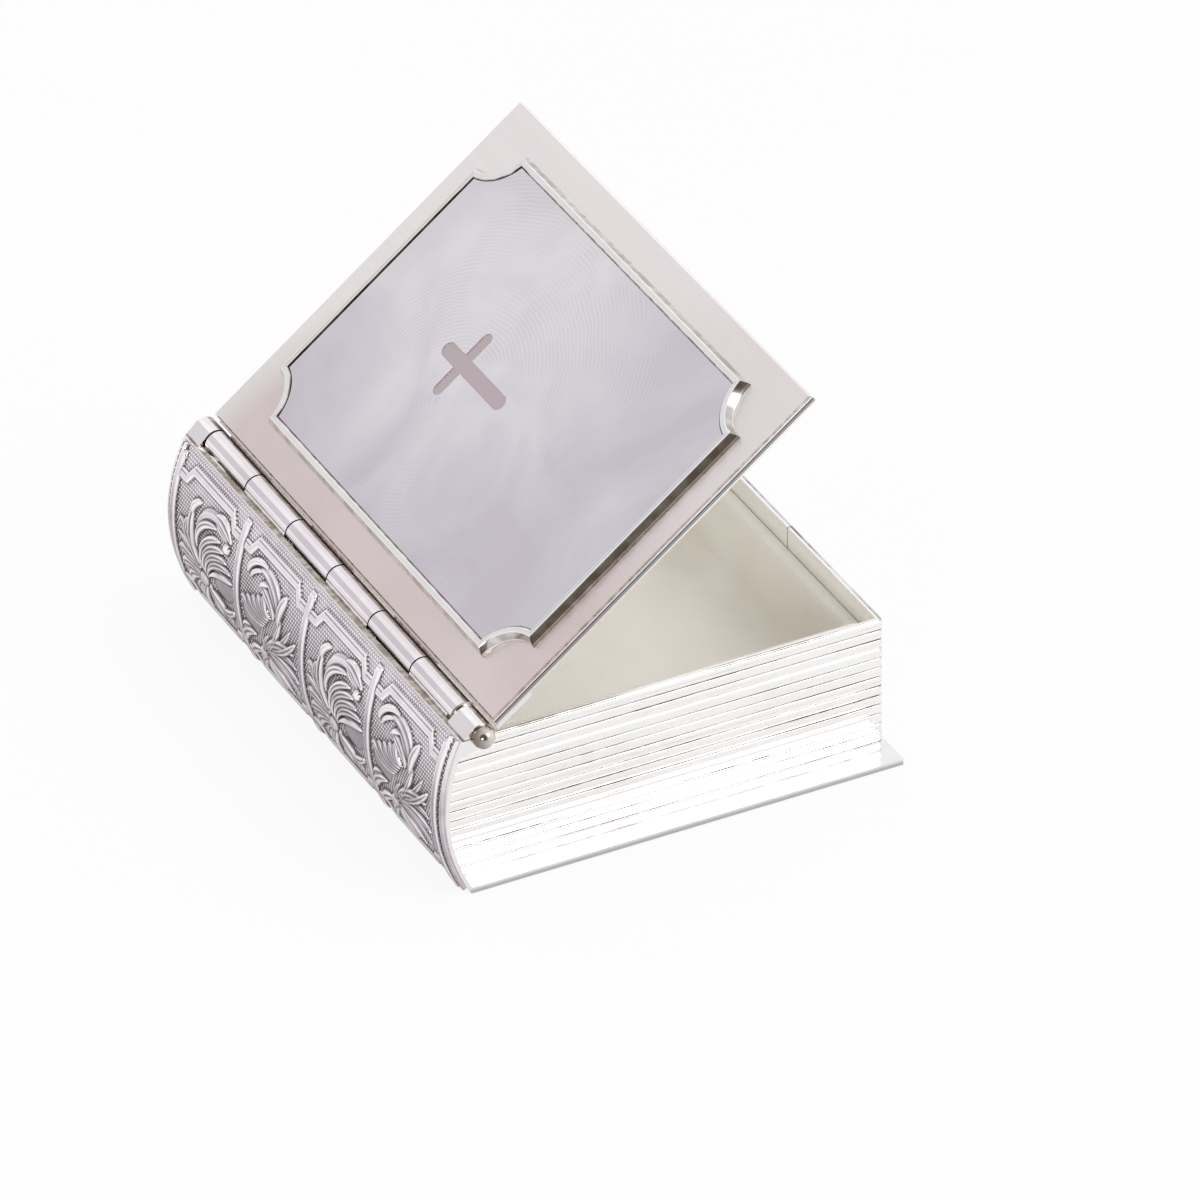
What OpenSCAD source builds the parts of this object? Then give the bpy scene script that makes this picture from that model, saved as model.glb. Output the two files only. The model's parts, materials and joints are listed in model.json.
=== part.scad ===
// Book-shaped keepsake box in plated metal, with an embossed spine and a hinged lid.
// X runs from the spine to the fore edge, Y along the spine, Z up.
// The origin is the middle of the bottom cover's underside.

/* [Book] */
// Length of the covers along the spine
book_l = 90; // [84:0.5:100]
// Width of the bottom cover from spine to fore edge
cover_w = 69.4; // [66:0.1:80]
// Thickness of the bottom cover sheet
cover_t = 1; // [0.8:0.1:1.4]

/* [Page block] */
// Height of the page block above the bottom cover
block_h = 20.7; // [18:0.1:26]
// Thickness of the page block sheet behind the page ridges
sheet_t = 0.7; // [0.5:0.1:1]
// How far the page ridges stand out from the sheet
ridge_d = 0.3; // [0.2:0.05:0.4]
// Number of page ridges from bottom to rim
ridge_n = 13; // [9:1:16]
// How far the page block is set in from each end of the covers
end_inset = 5.5; // [4:0.1:7]
// How far the page block is set in from the cover at the fore edge
fore_inset = 0.2; // [0.1:0.1:1.5]

/* [Spine] */
// How far the fullest point of the spine stands out past its foot
spine_bulge = 3.8; // [3:0.1:4.6]
// Thickness of the rolled spine shell
shell_t = 0.6; // [0.5:0.05:0.7]
// Thickness of the embossed plate on the spine
plate_t = 0.45; // [0.3:0.05:0.6]
// Number of embossed panels along the spine
panel_n = 4; // [3:1:5]
// Distance from each end of the covers to the middle of the last rib
rib_inset = 2.4; // [1.8:0.1:5]
// Width of the raised ribs between the panels
rib_w = 1.8; // [1.2:0.1:2.2]
// Width of the panel borders
border_w = 1.2; // [0.8:0.1:1.3]
// Height of the low relief on the plate
relief_low = 0.35; // [0.2:0.05:0.5]
// Height of the leaves on the plate
relief_mid = 0.55; // [0.45:0.05:0.7]
// Height of the ribs and of the boldest leaves on the plate
relief_high = 0.75; // [0.6:0.05:0.9]
// Distance from the plate's long edges to the panel borders
border_inset = 1.6; // [1.3:0.1:2.2]
// How far the borders step in beside the ribs
border_step = 1.7; // [1.2:0.1:2.2]

/* [Hinge] */
// Radius of the hinge knuckles
barrel_r = 2; // [1.8:0.05:2.1]
// Radius of the hinge pin
pin_r = 0.9; // [0.7:0.05:1]
// Radius of the ball on the pin at the tail end
ball_r = 1.7; // [1.4:0.05:1.9]
// Number of hinge knuckles between the two ears
knuckle_n = 6; // [4:2:8]
// Length of the spine shell's ear at the head end
head_ear_l = 4.3; // [3.5:0.1:5.5]
// Length of the spine shell's ear at the tail end
tail_ear_l = 5.6; // [4.5:0.1:6.5]
// Height of the hinge axis above the rim of the page block
hinge_rise = 4.47; // [4.3:0.01:5]
// Thickness of the hinge leaves
leaf_t = 0.7; // [0.5:0.05:0.8]
// Angle at which the lid stands open
open_angle = 37.5; // [0:0.5:105]

/* [Lid] */
// Width of the lid from its hinge edge to its free edge
lid_w = 63.5; // [60:0.1:64]
// Thickness of the lid plate
lid_t = 1.6; // [1.2:0.1:1.7]
// Height of the lid's top face above the hinge axis
lid_top = 0.73; // [0.5:0.01:0.9]
// Distance from the hinge axis to the lid's hinge edge
lid_edge = 2.6; // [2.5:0.05:3]
// Gap between the closed lid's lining and the rim
seat_gap = 0.3; // [0.3:0.05:0.6]

/* [Lid frame] */
// Distance from the lid's hinge and free edges to the frame
frame_margin_x = 4.92; // [3:0.1:9]
// Distance from the lid's ends to the frame
frame_margin_y = 4.45; // [3:0.1:9]
// Radius of the scooped corners
scoop_r = 6.2; // [4:0.1:8]
// Width of the frame moulding
frame_w = 1.65; // [1.2:0.05:2.4]
// Height of the frame moulding above the lid
frame_h = 1.4; // [1:0.1:2]
// How far the polished plate lies below the top of the frame
plate_recess = 0.3; // [0.1:0.05:0.5]

/* [Cross] */
// Length of the engraved cross
cross_l = 18.5; // [12:0.1:24]
// Width across the arms of the cross
cross_w = 11.8; // [8:0.1:16]
// Width of the upright stroke
upright_w = 2.5; // [1.5:0.1:3]
// Width of the arm stroke
arm_w = 2.1; // [1:0.1:2.5]
// Depth of the engraving
engrave_d = 0.12; // [0.05:0.01:0.2]

/* [Lining] */
// Thickness of the padded lining boards
board_t = 2.1; // [1.5:0.1:3]
// How far the fore edge lining stops below the rim
fore_drop = 3.5; // [0.5:0.1:5]
// How far the other lining boards stop below the rim
board_drop = 0.5; // [0.3:0.1:3]
// Thickness of the floor board under the pad
floor_t = 0.8; // [0.5:0.1:1.5]
// Height of the floor pad at its edge
pad_edge_h = 1; // [0.6:0.1:2]
// How far the floor pad crowns above its edge
pad_crown = 0.9; // [0.3:0.1:2]

/* [Hidden] */
$fn = 64;

// Clearance between pieces soldered or glued together
fit = 0.02;
// Running clearance of the pin in its knuckles
pin_clearance = 0.06;
// Gap between neighbouring knuckles
knuckle_gap = 0.3;
// Clearance round a knuckle that turns past something
swing_gap = 0.3;

// Book and block planes
half_l = book_l / 2;
half_w = cover_w / 2;
rim_z = cover_t + block_h;
wall_t = sheet_t + ridge_d;
block_half_l = half_l - end_inset;
fore_x = half_w - fore_inset;
inner_half_l = block_half_l - wall_t;
inner_fore_x = fore_x - wall_t;

// Hinge axis
hinge_set = 2.55;
hinge_x = hinge_set - half_w;
hinge_z = rim_z + hinge_rise;
lip_drop = 0.12;
lip_z = hinge_z - lip_drop;
barrel_y0 = tail_ear_l - half_l;
barrel_y1 = half_l - head_ear_l;
knuckle_l = (barrel_y1 - barrel_y0) / knuckle_n;
web_drop = 0.9;

// Circle of the spine's outer face, through the foot and level with it above the barrel
foot_in = 0.45;
foot_x = foot_in - half_w;
arc_over = 0.45;
spine_cz = (hinge_z + barrel_r - arc_over) / 2;
spine_r = (spine_cz * spine_cz + spine_bulge * spine_bulge) / (2 * spine_bulge);
spine_cx = foot_x - spine_bulge + spine_r;
rib_end = 0.5;
shell_inner_r = spine_r - shell_t;
leaf_outer_r = shell_inner_r - fit;
leaf_inner_r = leaf_outer_r - leaf_t;
plate_inner_r = spine_r + fit;
plate_outer_r = plate_inner_r + plate_t;

// Lining and inside
lining_inner_x1 = inner_fore_x - fit - board_t;
spine_board_x = hinge_x - 1.05;
lining_inner_x0 = spine_board_x + board_t;
lining_inner_y = inner_half_l - fit - board_t;
floor_z = cover_t + fit;
pad_z = floor_z + floor_t + fit;

// x of the spine circle of radius r at height z
function arc_x(r, z) = spine_cx - sqrt(r * r - (z - spine_cz) * (z - spine_cz));

// A sheet bent to the spine circle, between two radii, two ends and two heights
module spine_sheet(r_in, r_out, y0, y1, z0, z1) {
    intersection() {
        translate([spine_cx, y1, spine_cz])
            rotate([90, 0, 0])
                difference() {
                    cylinder(r = r_out, h = y1 - y0, $fn = 128);
                    translate([0, 0, -1]) cylinder(r = r_in, h = y1 - y0 + 2, $fn = 128);
                }
        translate([spine_cx - r_out - 1, y0 - 1, z0])
            cube([r_out - spine_bulge, y1 - y0 + 2, z1 - z0]);
    }
}

// A prism with its profile in X and Z, from y0 to y1
module profile_along_y(y0, y1) {
    translate([0, y1, 0]) rotate([90, 0, 0]) linear_extrude(y1 - y0) children();
}

// A prism with its profile in Y and Z, from x0 to x1
module profile_along_x(x0, x1) {
    translate([x0, 0, 0]) rotate([90, 0, 90]) linear_extrude(x1 - x0) children();
}

// Round bar along the hinge axis, from y0 to y1
module hinge_bar(r, y0, y1) {
    translate([hinge_x, y1, hinge_z]) rotate([90, 0, 0]) cylinder(r = r, h = y1 - y0);
}

// Moves what is drawn on a closed lid, measured from the hinge axis, to its open place
module on_lid() {
    translate([hinge_x, 0, hinge_z]) rotate([0, -open_angle, 0]) children();
}

// Page ridges: sheet with v-grooves, outer face at 0 and inner face at wall_t
module page_profile() {
    pitch = block_h / ridge_n;
    groove = pitch * 0.12;
    polygon(concat(
        [[wall_t, cover_t], [ridge_d, cover_t]],
        [for (i = [0 : ridge_n - 1]) each [
            [0, cover_t + i * pitch + groove],
            [0, cover_t + (i + 1) * pitch - groove],
            [ridge_d, cover_t + (i + 1) * pitch]
        ]],
        [[wall_t, rim_z]]
    ));
}

module bottom_cover() {
    color("Gainsboro") {
        split_x = spine_cx;
        translate([split_x, -half_l, 0]) cube([half_w - split_x, book_l, cover_t]);
        intersection() {
            translate([-half_w, -half_l, 0]) cube([split_x + half_w, book_l, cover_t]);
            translate([spine_cx, half_l, spine_cz])
                rotate([90, 0, 0]) cylinder(r = shell_inner_r - fit, h = book_l, $fn = 128);
        }
    }
}

// Plan of an end wall: reaches under the spine and is mitred at the fore edge
module end_wall_plan() {
    polygon([
        [-half_w - spine_bulge, -block_half_l],
        [fore_x, -block_half_l],
        [fore_x - wall_t, -inner_half_l],
        [-half_w - spine_bulge, -inner_half_l]
    ]);
}

module page_wall_tail() {
    color("WhiteSmoke") intersection() {
        translate([0, -block_half_l, 0])
            profile_along_x(-half_w - spine_bulge, fore_x) page_profile();
        linear_extrude(rim_z + 1) end_wall_plan();
        union() {
            translate([spine_cx, half_l, spine_cz])
                rotate([90, 0, 0]) cylinder(r = shell_inner_r - fit, h = book_l, $fn = 128);
            translate([spine_cx, -half_l, 0]) cube([cover_w, book_l, rim_z]);
        }
    }
}

module page_wall_head() {
    mirror([0, 1, 0]) page_wall_tail();
}

module page_wall_fore() {
    color("WhiteSmoke") intersection() {
        translate([fore_x, 0, 0]) mirror([1, 0, 0])
            profile_along_y(-block_half_l, block_half_l) page_profile();
        linear_extrude(rim_z + 1) polygon([
            [fore_x, -block_half_l], [fore_x, block_half_l],
            [fore_x - wall_t, inner_half_l], [fore_x - wall_t, -inner_half_l]
        ]);
    }
}

// Section that joins a knuckle to a curved sheet below and outside it
module knuckle_web(r_out, r_in, z_top, z_low) {
    polygon([
        [arc_x(r_out, z_low), z_low],
        [arc_x(r_out, (z_low + z_top) / 2), (z_low + z_top) / 2],
        [arc_x(r_out, z_top), z_top],
        [hinge_x - barrel_r * sin(30), hinge_z + barrel_r * cos(30)],
        [hinge_x, hinge_z],
        [hinge_x - barrel_r * sin(10), hinge_z - barrel_r * cos(10)],
        [arc_x(r_in, z_low), z_low]
    ]);
}

module spine_shell() {
    ear_low = hinge_z - barrel_r - web_drop;
    color("Silver") difference() {
        union() {
            spine_sheet(shell_inner_r, spine_r, -half_l, half_l, 0, lip_z);
            for (span = [[-half_l, barrel_y0 - knuckle_gap], [barrel_y1 + knuckle_gap, half_l]]) {
                hinge_bar(barrel_r, span[0], span[1]);
                profile_along_y(span[0], span[1])
                    knuckle_web(spine_r, shell_inner_r, lip_z, ear_low);
            }
        }
        hinge_bar(pin_r + pin_clearance, -half_l - 1, half_l + 1);
    }
}

// Height above the plate's foot at an angle on the spine circle, and the angle at a depth
// measured along the curve from the plate's top edge
plate_z0 = 0.6;
plate_z1 = lip_z - 0.15;
plate_half_l = half_l - 0.6;
panel_pitch = (book_l - 2 * rib_inset) / panel_n;
phi_top = asin((plate_z1 - spine_cz) / plate_outer_r);
phi_low = asin((plate_z0 - spine_cz) / plate_outer_r);
plate_arc = plate_outer_r * (phi_top - phi_low) * PI / 180;

// Motifs are laid out on a grid of this many units along and across one panel
grid_s = 21.3;
grid_a = 27.8;
unit_s = panel_pitch / grid_s;
unit_a = plate_arc / grid_a;

// Places what is drawn flat on the spine, at y and at a depth below the plate's top edge:
// X towards the tail end, Y up the curve, Z outwards
module on_spine(y, depth) {
    translate([spine_cx, y, spine_cz])
        rotate([0, phi_top - depth / plate_outer_r * 180 / PI, 0])
            translate([-plate_outer_r, 0, 0]) rotate([90, 0, -90]) children();
}

// A leaf l long and w wide that rises to a crest h high and tapers to both ends,
// with its middle bent sideways by bend
module crested_leaf(l, w, h, bend) {
    sink = 0.35;
    over = 0.1;
    slope = w / 2 / h;
    outer_s = abs(bend) + w / 2;
    inner_s = abs(bend) - w / 2;
    outer_r = (l * l / 4 + outer_s * outer_s) / (2 * outer_s);
    inner_r = (l * l / 4 + inner_s * inner_s) / (2 * abs(inner_s));
    tall = h + sink + over;
    mirror([0, bend < 0 ? 1 : 0, 0]) translate([0, 0, -sink]) {
        if (inner_s < 0) {
            intersection() {
                leaf_cone(outer_s - outer_r, outer_r + slope * sink, outer_r - slope * (h + over), tall);
                leaf_cone(inner_s + inner_r, inner_r + slope * sink, inner_r - slope * (h + over), tall);
            }
        } else {
            difference() {
                leaf_cone(outer_s - outer_r, outer_r + slope * sink, outer_r - slope * (h + over), tall);
                translate([0, 0, -over])
                    leaf_cone(inner_s - inner_r, inner_r - slope * (sink + over),
                        inner_r + slope * (h + 2 * over), tall + 2 * over);
            }
        }
    }
}

module leaf_cone(y, r_low, r_top, tall) {
    translate([0, y, 0]) cylinder(r1 = r_low, r2 = r_top, h = tall, $fn = 160);
}

// A leaf from grid point p to grid point q of the panel whose head end is at y
module leaf(y, p, q, w, h, bend) {
    a = [p[0] * unit_s, p[1] * unit_a];
    b = [q[0] * unit_s, q[1] * unit_a];
    d = b - a;
    mid = (a + b) / 2;
    on_spine(y - mid[0], mid[1]) rotate([0, 0, atan2(-d[1], d[0])])
        crested_leaf(norm(d), w, h, bend);
}

// A low round boss of radius r and height h at grid point p
module boss(y, p, r, h) {
    ball = (r * r + h * h) / (2 * h);
    on_spine(y - p[0] * unit_s, p[1] * unit_a) translate([0, 0, h - ball]) intersection() {
        sphere(r = ball, $fn = 96);
        translate([-r, -r, ball - h - 0.2]) cube([2 * r, 2 * r, h + 1]);
    }
}

function mix(a, b, t) = a + (b - a) * t;

// A row of n leaves whose roots run from p0 to p1 and whose tips run from q0 to q1
module leaf_row(y, n, p0, p1, q0, q1, w, h, bend) {
    for (i = [0 : n - 1]) {
        t = i / (n - 1);
        leaf(y, mix(p0, p1, t), mix(q0, q1, t), w, h, bend);
    }
}

// First motif: a leaf that arches over a shower of fronds, beside a plain oval
module arch_motif(y) {
    leaf(y, [8.4, 11.4], [17.6, 8.0], 2.0, relief_high, 4.3);
    leaf(y, [12.7, 5.2], [18.4, 6.9], 1.9, relief_high, 1.2);
    boss(y, [17.6, 8.1], 0.95, relief_high);
    leaf(y, [8.2, 13.4], [13.8, 7.0], 1.2, relief_mid, 2.1);
    leaf_row(y, 4, [9.2, 15.4], [11.2, 16.6], [15.3, 8.3], [19.3, 11.9], 1.3, relief_mid, 1.7);
    leaf(y, [11.4, 17.0], [19.8, 13.2], 1.3, relief_mid, 1.1);
    leaf(y, [9.3, 16.6], [6.6, 6.3], 2.0, relief_high, 1.7);
    leaf(y, [6.3, 8.4], [8.3, 5.5], 1.2, relief_high, 0.8);
    leaf(y, [8.5, 16.2], [2.2, 11.2], 2.1, relief_high, -0.9);
    leaf(y, [8.9, 16.9], [1.7, 14.0], 1.2, relief_mid, -0.7);
    leaf(y, [9.2, 17.4], [1.6, 17.0], 1.9, relief_high, -1.2);
    leaf(y, [9.4, 18.2], [1.7, 20.2], 1.8, relief_high, -1.4);
    leaf(y, [9.7, 18.6], [3.3, 22.9], 1.8, relief_high, -1.4);
    leaf(y, [10.1, 18.8], [6.1, 24.2], 1.5, relief_mid, -1.0);
    leaf(y, [10.5, 18.9], [9.2, 24.4], 1.5, relief_high, -0.6);
    leaf(y, [10.8, 19.0], [13.2, 23.9], 1.6, relief_mid, 0.7);
    leaf(y, [11.6, 18.0], [19.4, 18.6], 1.6, relief_high, -2.0);
    leaf(y, [11.4, 19.0], [17.6, 21.9], 1.7, relief_high, 1.0);
    boss(y, [10.0, 17.9], 1.3, relief_high);
}

// Second motif: a fluted shell under an arching leaf, beside a spray of long leaves
module shell_motif(y) {
    leaf(y, [3.2, 7.8], [8.6, 4.5], 1.3, relief_high, 1.4);
    leaf(y, [6.8, 5.4], [13.6, 10.2], 2.8, relief_high, 1.9);
    leaf(y, [7.6, 7.9], [12.0, 11.2], 1.6, relief_mid, 1.3);
    leaf_row(y, 5, [9.0, 14.2], [11.2, 11.6], [1.8, 12.4], [8.6, 8.8], 1.7, relief_high, 0.35);
    leaf(y, [8.4, 18.8], [14.4, 9.6], 1.1, relief_mid, -1.3);
    leaf(y, [13.9, 11.6], [15.2, 5.4], 1.7, relief_high, 0.5);
    leaf(y, [9.4, 17.6], [19.3, 11.2], 1.2, relief_mid, -1.0);
    leaf(y, [8.6, 18.8], [18.7, 13.6], 1.7, relief_high, 1.5);
    leaf(y, [9.0, 18.6], [19.4, 15.8], 1.3, relief_mid, 1.5);
    leaf(y, [9.0, 19.0], [19.6, 18.3], 1.8, relief_high, 1.6);
    leaf(y, [9.0, 19.4], [18.6, 21.2], 1.7, relief_mid, 1.4);
    leaf(y, [8.9, 19.8], [15.8, 23.2], 1.7, relief_high, 1.1);
    leaf(y, [8.6, 19.8], [12.4, 24.3], 1.5, relief_mid, -0.9);
    leaf(y, [0.9, 21.6], [5.6, 17.8], 1.7, relief_high, 1.0);
    leaf(y, [2.4, 23.6], [7.2, 20.2], 1.7, relief_high, 1.0);
    leaf(y, [6.0, 24.2], [8.4, 20.8], 1.4, relief_mid, 0.5);
    boss(y, [8.0, 19.6], 1.2, relief_high);
}

// One panel's border in Y and Z: a bar that steps in beside each rib
module border_path(z_edge, dir) {
    half_p = panel_pitch / 2;
    top_half = half_p * 0.65;
    step_half = half_p * 0.78;
    step = border_step;
    w = border_w;
    skew = w * 0.35;
    polygon([
        [-half_p, z_edge - dir * step], [-step_half, z_edge - dir * step],
        [-top_half, z_edge], [top_half, z_edge],
        [step_half, z_edge - dir * step], [half_p, z_edge - dir * step],
        [half_p, z_edge - dir * (step + w)], [step_half - skew, z_edge - dir * (step + w)],
        [top_half - skew, z_edge - dir * w], [skew - top_half, z_edge - dir * w],
        [skew - step_half, z_edge - dir * (step + w)], [-half_p, z_edge - dir * (step + w)]
    ]);
}

// A rounded rib across the spine, sunk into the plate by bite
module rib(y, bite) {
    w = rib_w / 2;
    h = relief_high;
    r = plate_outer_r;
    intersection() {
        translate([spine_cx, y, spine_cz]) rotate([90, 0, 0]) rotate_extrude($fn = 128)
            polygon([
                [r - bite, -w], [r + h * 0.3, -w], [r + h * 0.8, -w * 0.66], [r + h, -w * 0.25],
                [r + h, w * 0.25], [r + h * 0.8, w * 0.66], [r + h * 0.3, w], [r - bite, w]
            ]);
        translate([spine_cx - r - h - 1, y - rib_w, plate_z0 + rib_end])
            cube([r - spine_bulge, 2 * rib_w, plate_z1 - plate_z0 - 2 * rib_end]);
    }
}

module spine_plate() {
    bite = 0.1;
    color("LightSteelBlue") {
        spine_sheet(plate_inner_r, plate_outer_r, -plate_half_l, plate_half_l, plate_z0, plate_z1);
        intersection() {
            spine_sheet(plate_outer_r - bite, plate_outer_r + relief_low,
                -plate_half_l, plate_half_l, plate_z0, plate_z1);
            profile_along_x(-half_w - 3 * spine_bulge, 0)
                for (i = [0 : panel_n - 1])
                    translate([(i - (panel_n - 1) / 2) * panel_pitch, 0]) {
                        border_path(plate_z1 - border_inset, 1);
                        border_path(plate_z0 + border_inset, -1);
                    }
        }
        for (i = [0 : panel_n]) rib((i - panel_n / 2) * panel_pitch, bite);
        for (i = [0 : panel_n - 1]) {
            head_y = (panel_n / 2 - i) * panel_pitch;
            if (i % 2 == 0) arch_motif(head_y);
            else shell_motif(head_y);
        }
    }
}

// Knuckle number k counts from the tail end
function knuckle_y(k) = barrel_y0 + k * knuckle_l;

module base_hinge_leaf() {
    leaf_half_l = inner_half_l - 0.4;
    leaf_low = spine_cz + 1;
    leaf_top = hinge_z - 1.4;
    web_top = lip_z - 0.6;
    web_low = hinge_z - barrel_r - web_drop;
    color("DarkGray") difference() {
        union() {
            spine_sheet(leaf_inner_r, leaf_outer_r, -leaf_half_l, leaf_half_l, leaf_low, leaf_top);
            for (k = [0 : 2 : knuckle_n - 1]) {
                y0 = knuckle_y(k) + knuckle_gap / 2;
                y1 = knuckle_y(k + 1) - knuckle_gap / 2;
                hinge_bar(barrel_r, y0, y1);
                intersection() {
                    profile_along_y(y0, y1)
                        knuckle_web(leaf_outer_r, leaf_inner_r, web_top, web_low);
                    translate([hinge_x - half_w, -leaf_half_l, 0])
                        cube([cover_w, 2 * leaf_half_l, hinge_z + half_w]);
                }
            }
        }
        hinge_bar(pin_r + pin_clearance, -half_l, half_l);
    }
}

// The pin: a rod with a ball at the tail end and a flat button at the head end
module hinge_pin() {
    ball_out = 0.4;
    button_t = 0.4;
    button_r = 1.3;
    head_gap = 0.05;
    color("DimGray") {
        hinge_bar(pin_r, -half_l - ball_out, half_l + head_gap + button_t / 2);
        difference() {
            translate([hinge_x, -half_l - head_gap - ball_out, hinge_z]) sphere(r = ball_r);
            translate([hinge_x - ball_r, -half_l - head_gap, hinge_z - ball_r])
                cube(2 * ball_r);
        }
        hinge_bar(button_r, half_l + head_gap, half_l + head_gap + button_t);
    }
}

module hinge_washer() {
    color("Gray") difference() {
        hinge_bar(barrel_r + 0.2, barrel_y0 - knuckle_gap + fit, barrel_y0 + knuckle_gap / 2 - fit);
        hinge_bar(pin_r + pin_clearance, -half_l, half_l);
    }
}

// Section of a lining board: flat back, rounded upper front edge
module board_profile(h) {
    r = board_t * 0.75;
    difference() {
        square([board_t, h]);
        translate([board_t - r, h - r]) difference() {
            square(r + 1);
            circle(r = r);
        }
    }
}

module lining_tail() {
    color("Ivory") translate([0, -inner_half_l + fit, floor_z])
        profile_along_x(spine_board_x + board_t + fit, lining_inner_x1 - fit)
            board_profile(rim_z - board_drop - floor_z);
}

module lining_head() {
    mirror([0, 1, 0]) lining_tail();
}

module lining_fore() {
    color("Ivory") translate([inner_fore_x - fit, 0, floor_z]) mirror([1, 0, 0])
        profile_along_y(-inner_half_l + fit, inner_half_l - fit)
            board_profile(rim_z - fore_drop - floor_z);
}

module lining_spine() {
    color("Ivory") translate([spine_board_x, 0, floor_z])
        profile_along_y(-inner_half_l + fit, inner_half_l - fit)
            board_profile(rim_z - board_drop - floor_z);
}

module floor_board() {
    color("Tan") translate([lining_inner_x0 + fit, -lining_inner_y + fit, floor_z])
        cube([lining_inner_x1 - lining_inner_x0 - 2 * fit, 2 * (lining_inner_y - fit), floor_t]);
}

// Height of the pad's top at a place given from -1 to 1 across its width and length
function pad_top(u, v) = pad_edge_h + pad_crown * pow((1 - u * u * u * u) * (1 - v * v * v * v), 0.5);
// Sides draw in towards the middle of each edge
function pad_draw(v) = 1 - 0.012 * (1 - v * v);

module floor_pad() {
    n = 16;
    side_gap = 0.3;
    half_x = (lining_inner_x1 - lining_inner_x0) / 2 - side_gap;
    half_y = lining_inner_y - side_gap;
    mid_x = (lining_inner_x0 + lining_inner_x1) / 2;
    steps = [for (i = [0 : n]) sin(90 * (2 * i / n - 1))];
    top = [for (i = [0 : n]) for (j = [0 : n])
        [half_x * steps[i] * pad_draw(steps[j]), half_y * steps[j] * pad_draw(steps[i]),
         pad_top(steps[i], steps[j])]];
    base = [for (p = top) [p[0], p[1], 0]];
    m = (n + 1) * (n + 1);
    function at(i, j) = i * (n + 1) + j;
    quads = [for (i = [0 : n - 1]) for (j = [0 : n - 1]) each [
        [at(i, j), at(i + 1, j), at(i + 1, j + 1)],
        [at(i, j), at(i + 1, j + 1), at(i, j + 1)]
    ]];
    under = [for (t = quads) [t[2] + m, t[1] + m, t[0] + m]];
    rim = concat(
        [for (j = [0 : n - 1]) at(0, j)], [for (i = [0 : n - 1]) at(i, n)],
        [for (j = [n : -1 : 1]) at(n, j)], [for (i = [n : -1 : 1]) at(i, 0)]
    );
    k = len(rim);
    sides = [for (i = [0 : k - 1]) each [
        [rim[i], rim[(i + 1) % k], rim[i] + m],
        [rim[(i + 1) % k], rim[(i + 1) % k] + m, rim[i] + m]
    ]];
    all_faces = concat(quads, under, sides);
    color("Ivory") translate([mid_x, 0, pad_z])
        polyhedron(points = concat(top, base), faces = [for (f = all_faces) [f[0], f[2], f[1]]]);
}

// Section of the lid plate from one edge to the other, with a groove along each edge that
// sets off its top sheet
module lid_edge_profile(a, b) {
    w0 = lid_top - lid_t;
    bevel = 0.25;
    lip = 0.15;
    groove = 0.2;
    g1 = lid_top - 0.5;
    g0 = g1 - groove;
    polygon([
        [a + lip, w0], [b - lip, w0], [b - lip, w0 + bevel], [b, w0 + bevel + lip],
        [b, g0], [b - groove, g0], [b - groove, g1], [b, g1],
        [b, lid_top - bevel], [b - bevel, lid_top], [a + bevel, lid_top], [a, lid_top - bevel],
        [a, g1], [a + groove, g1], [a + groove, g0], [a, g0],
        [a, w0 + bevel + lip], [a + lip, w0 + bevel]
    ]);
}

module lid_plate() {
    color("Lavender") on_lid() intersection() {
        profile_along_y(-half_l, half_l) lid_edge_profile(lid_edge, lid_edge + lid_w);
        profile_along_x(lid_edge, lid_edge + lid_w) lid_edge_profile(-half_l, half_l);
    }
}

// Outline with scooped corners, set in by d from the frame's outer edge
lid_mid = lid_edge + lid_w / 2;
frame_half_x = lid_w / 2 - frame_margin_x;
frame_half_y = half_l - frame_margin_y;
module scooped(d) {
    difference() {
        square([2 * (frame_half_x - d), 2 * (frame_half_y - d)], center = true);
        for (sx = [-1, 1], sy = [-1, 1])
            translate([sx * frame_half_x, sy * frame_half_y]) circle(r = scoop_r + d);
    }
}

// Inset of the moulding's outer face at each height: a hollow foot below a round shoulder
ogee_n = 5;
ogee_w = 0.55;
ogee = concat(
    [for (i = [0 : ogee_n]) let (a = 90 * i / ogee_n)
        [ogee_w * 0.4 * sin(a), frame_h * 0.45 * (1 - cos(a))]],
    [for (i = [1 : ogee_n]) let (a = 90 * i / ogee_n)
        [ogee_w * (0.4 + 0.6 * (1 - cos(a))), frame_h * (0.45 + 0.55 * sin(a))]]
);

module ogee_bar_profile(half) {
    polygon(concat(
        [for (p = ogee) [-half + p[0], p[1]]],
        [for (i = [len(ogee) - 1 : -1 : 0]) [half - ogee[i][0], ogee[i][1]]]
    ));
}

module lid_frame() {
    color("GhostWhite") on_lid() translate([lid_mid, 0, lid_top + fit]) difference() {
        intersection() {
            profile_along_y(-frame_half_y, frame_half_y) ogee_bar_profile(frame_half_x);
            profile_along_x(-frame_half_x, frame_half_x) ogee_bar_profile(frame_half_y);
        }
        for (sx = [-1, 1], sy = [-1, 1])
            translate([sx * frame_half_x, sy * frame_half_y, 0])
                rotate_extrude() polygon(concat(
                    [[0, -1], [scoop_r, -1]],
                    [for (p = ogee) [scoop_r + p[0], p[1]]],
                    [[scoop_r + ogee_w, frame_h + 1], [0, frame_h + 1]]
                ));
        translate([0, 0, -1]) linear_extrude(frame_h + 2) scooped(frame_w);
    }
}

// A stroke with round ends, w wide and l long
module stroke(w, l) {
    square([w, l - w], center = true);
    for (s = [-1, 1]) translate([0, s * (l - w) / 2]) circle(r = w / 2);
}

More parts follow.
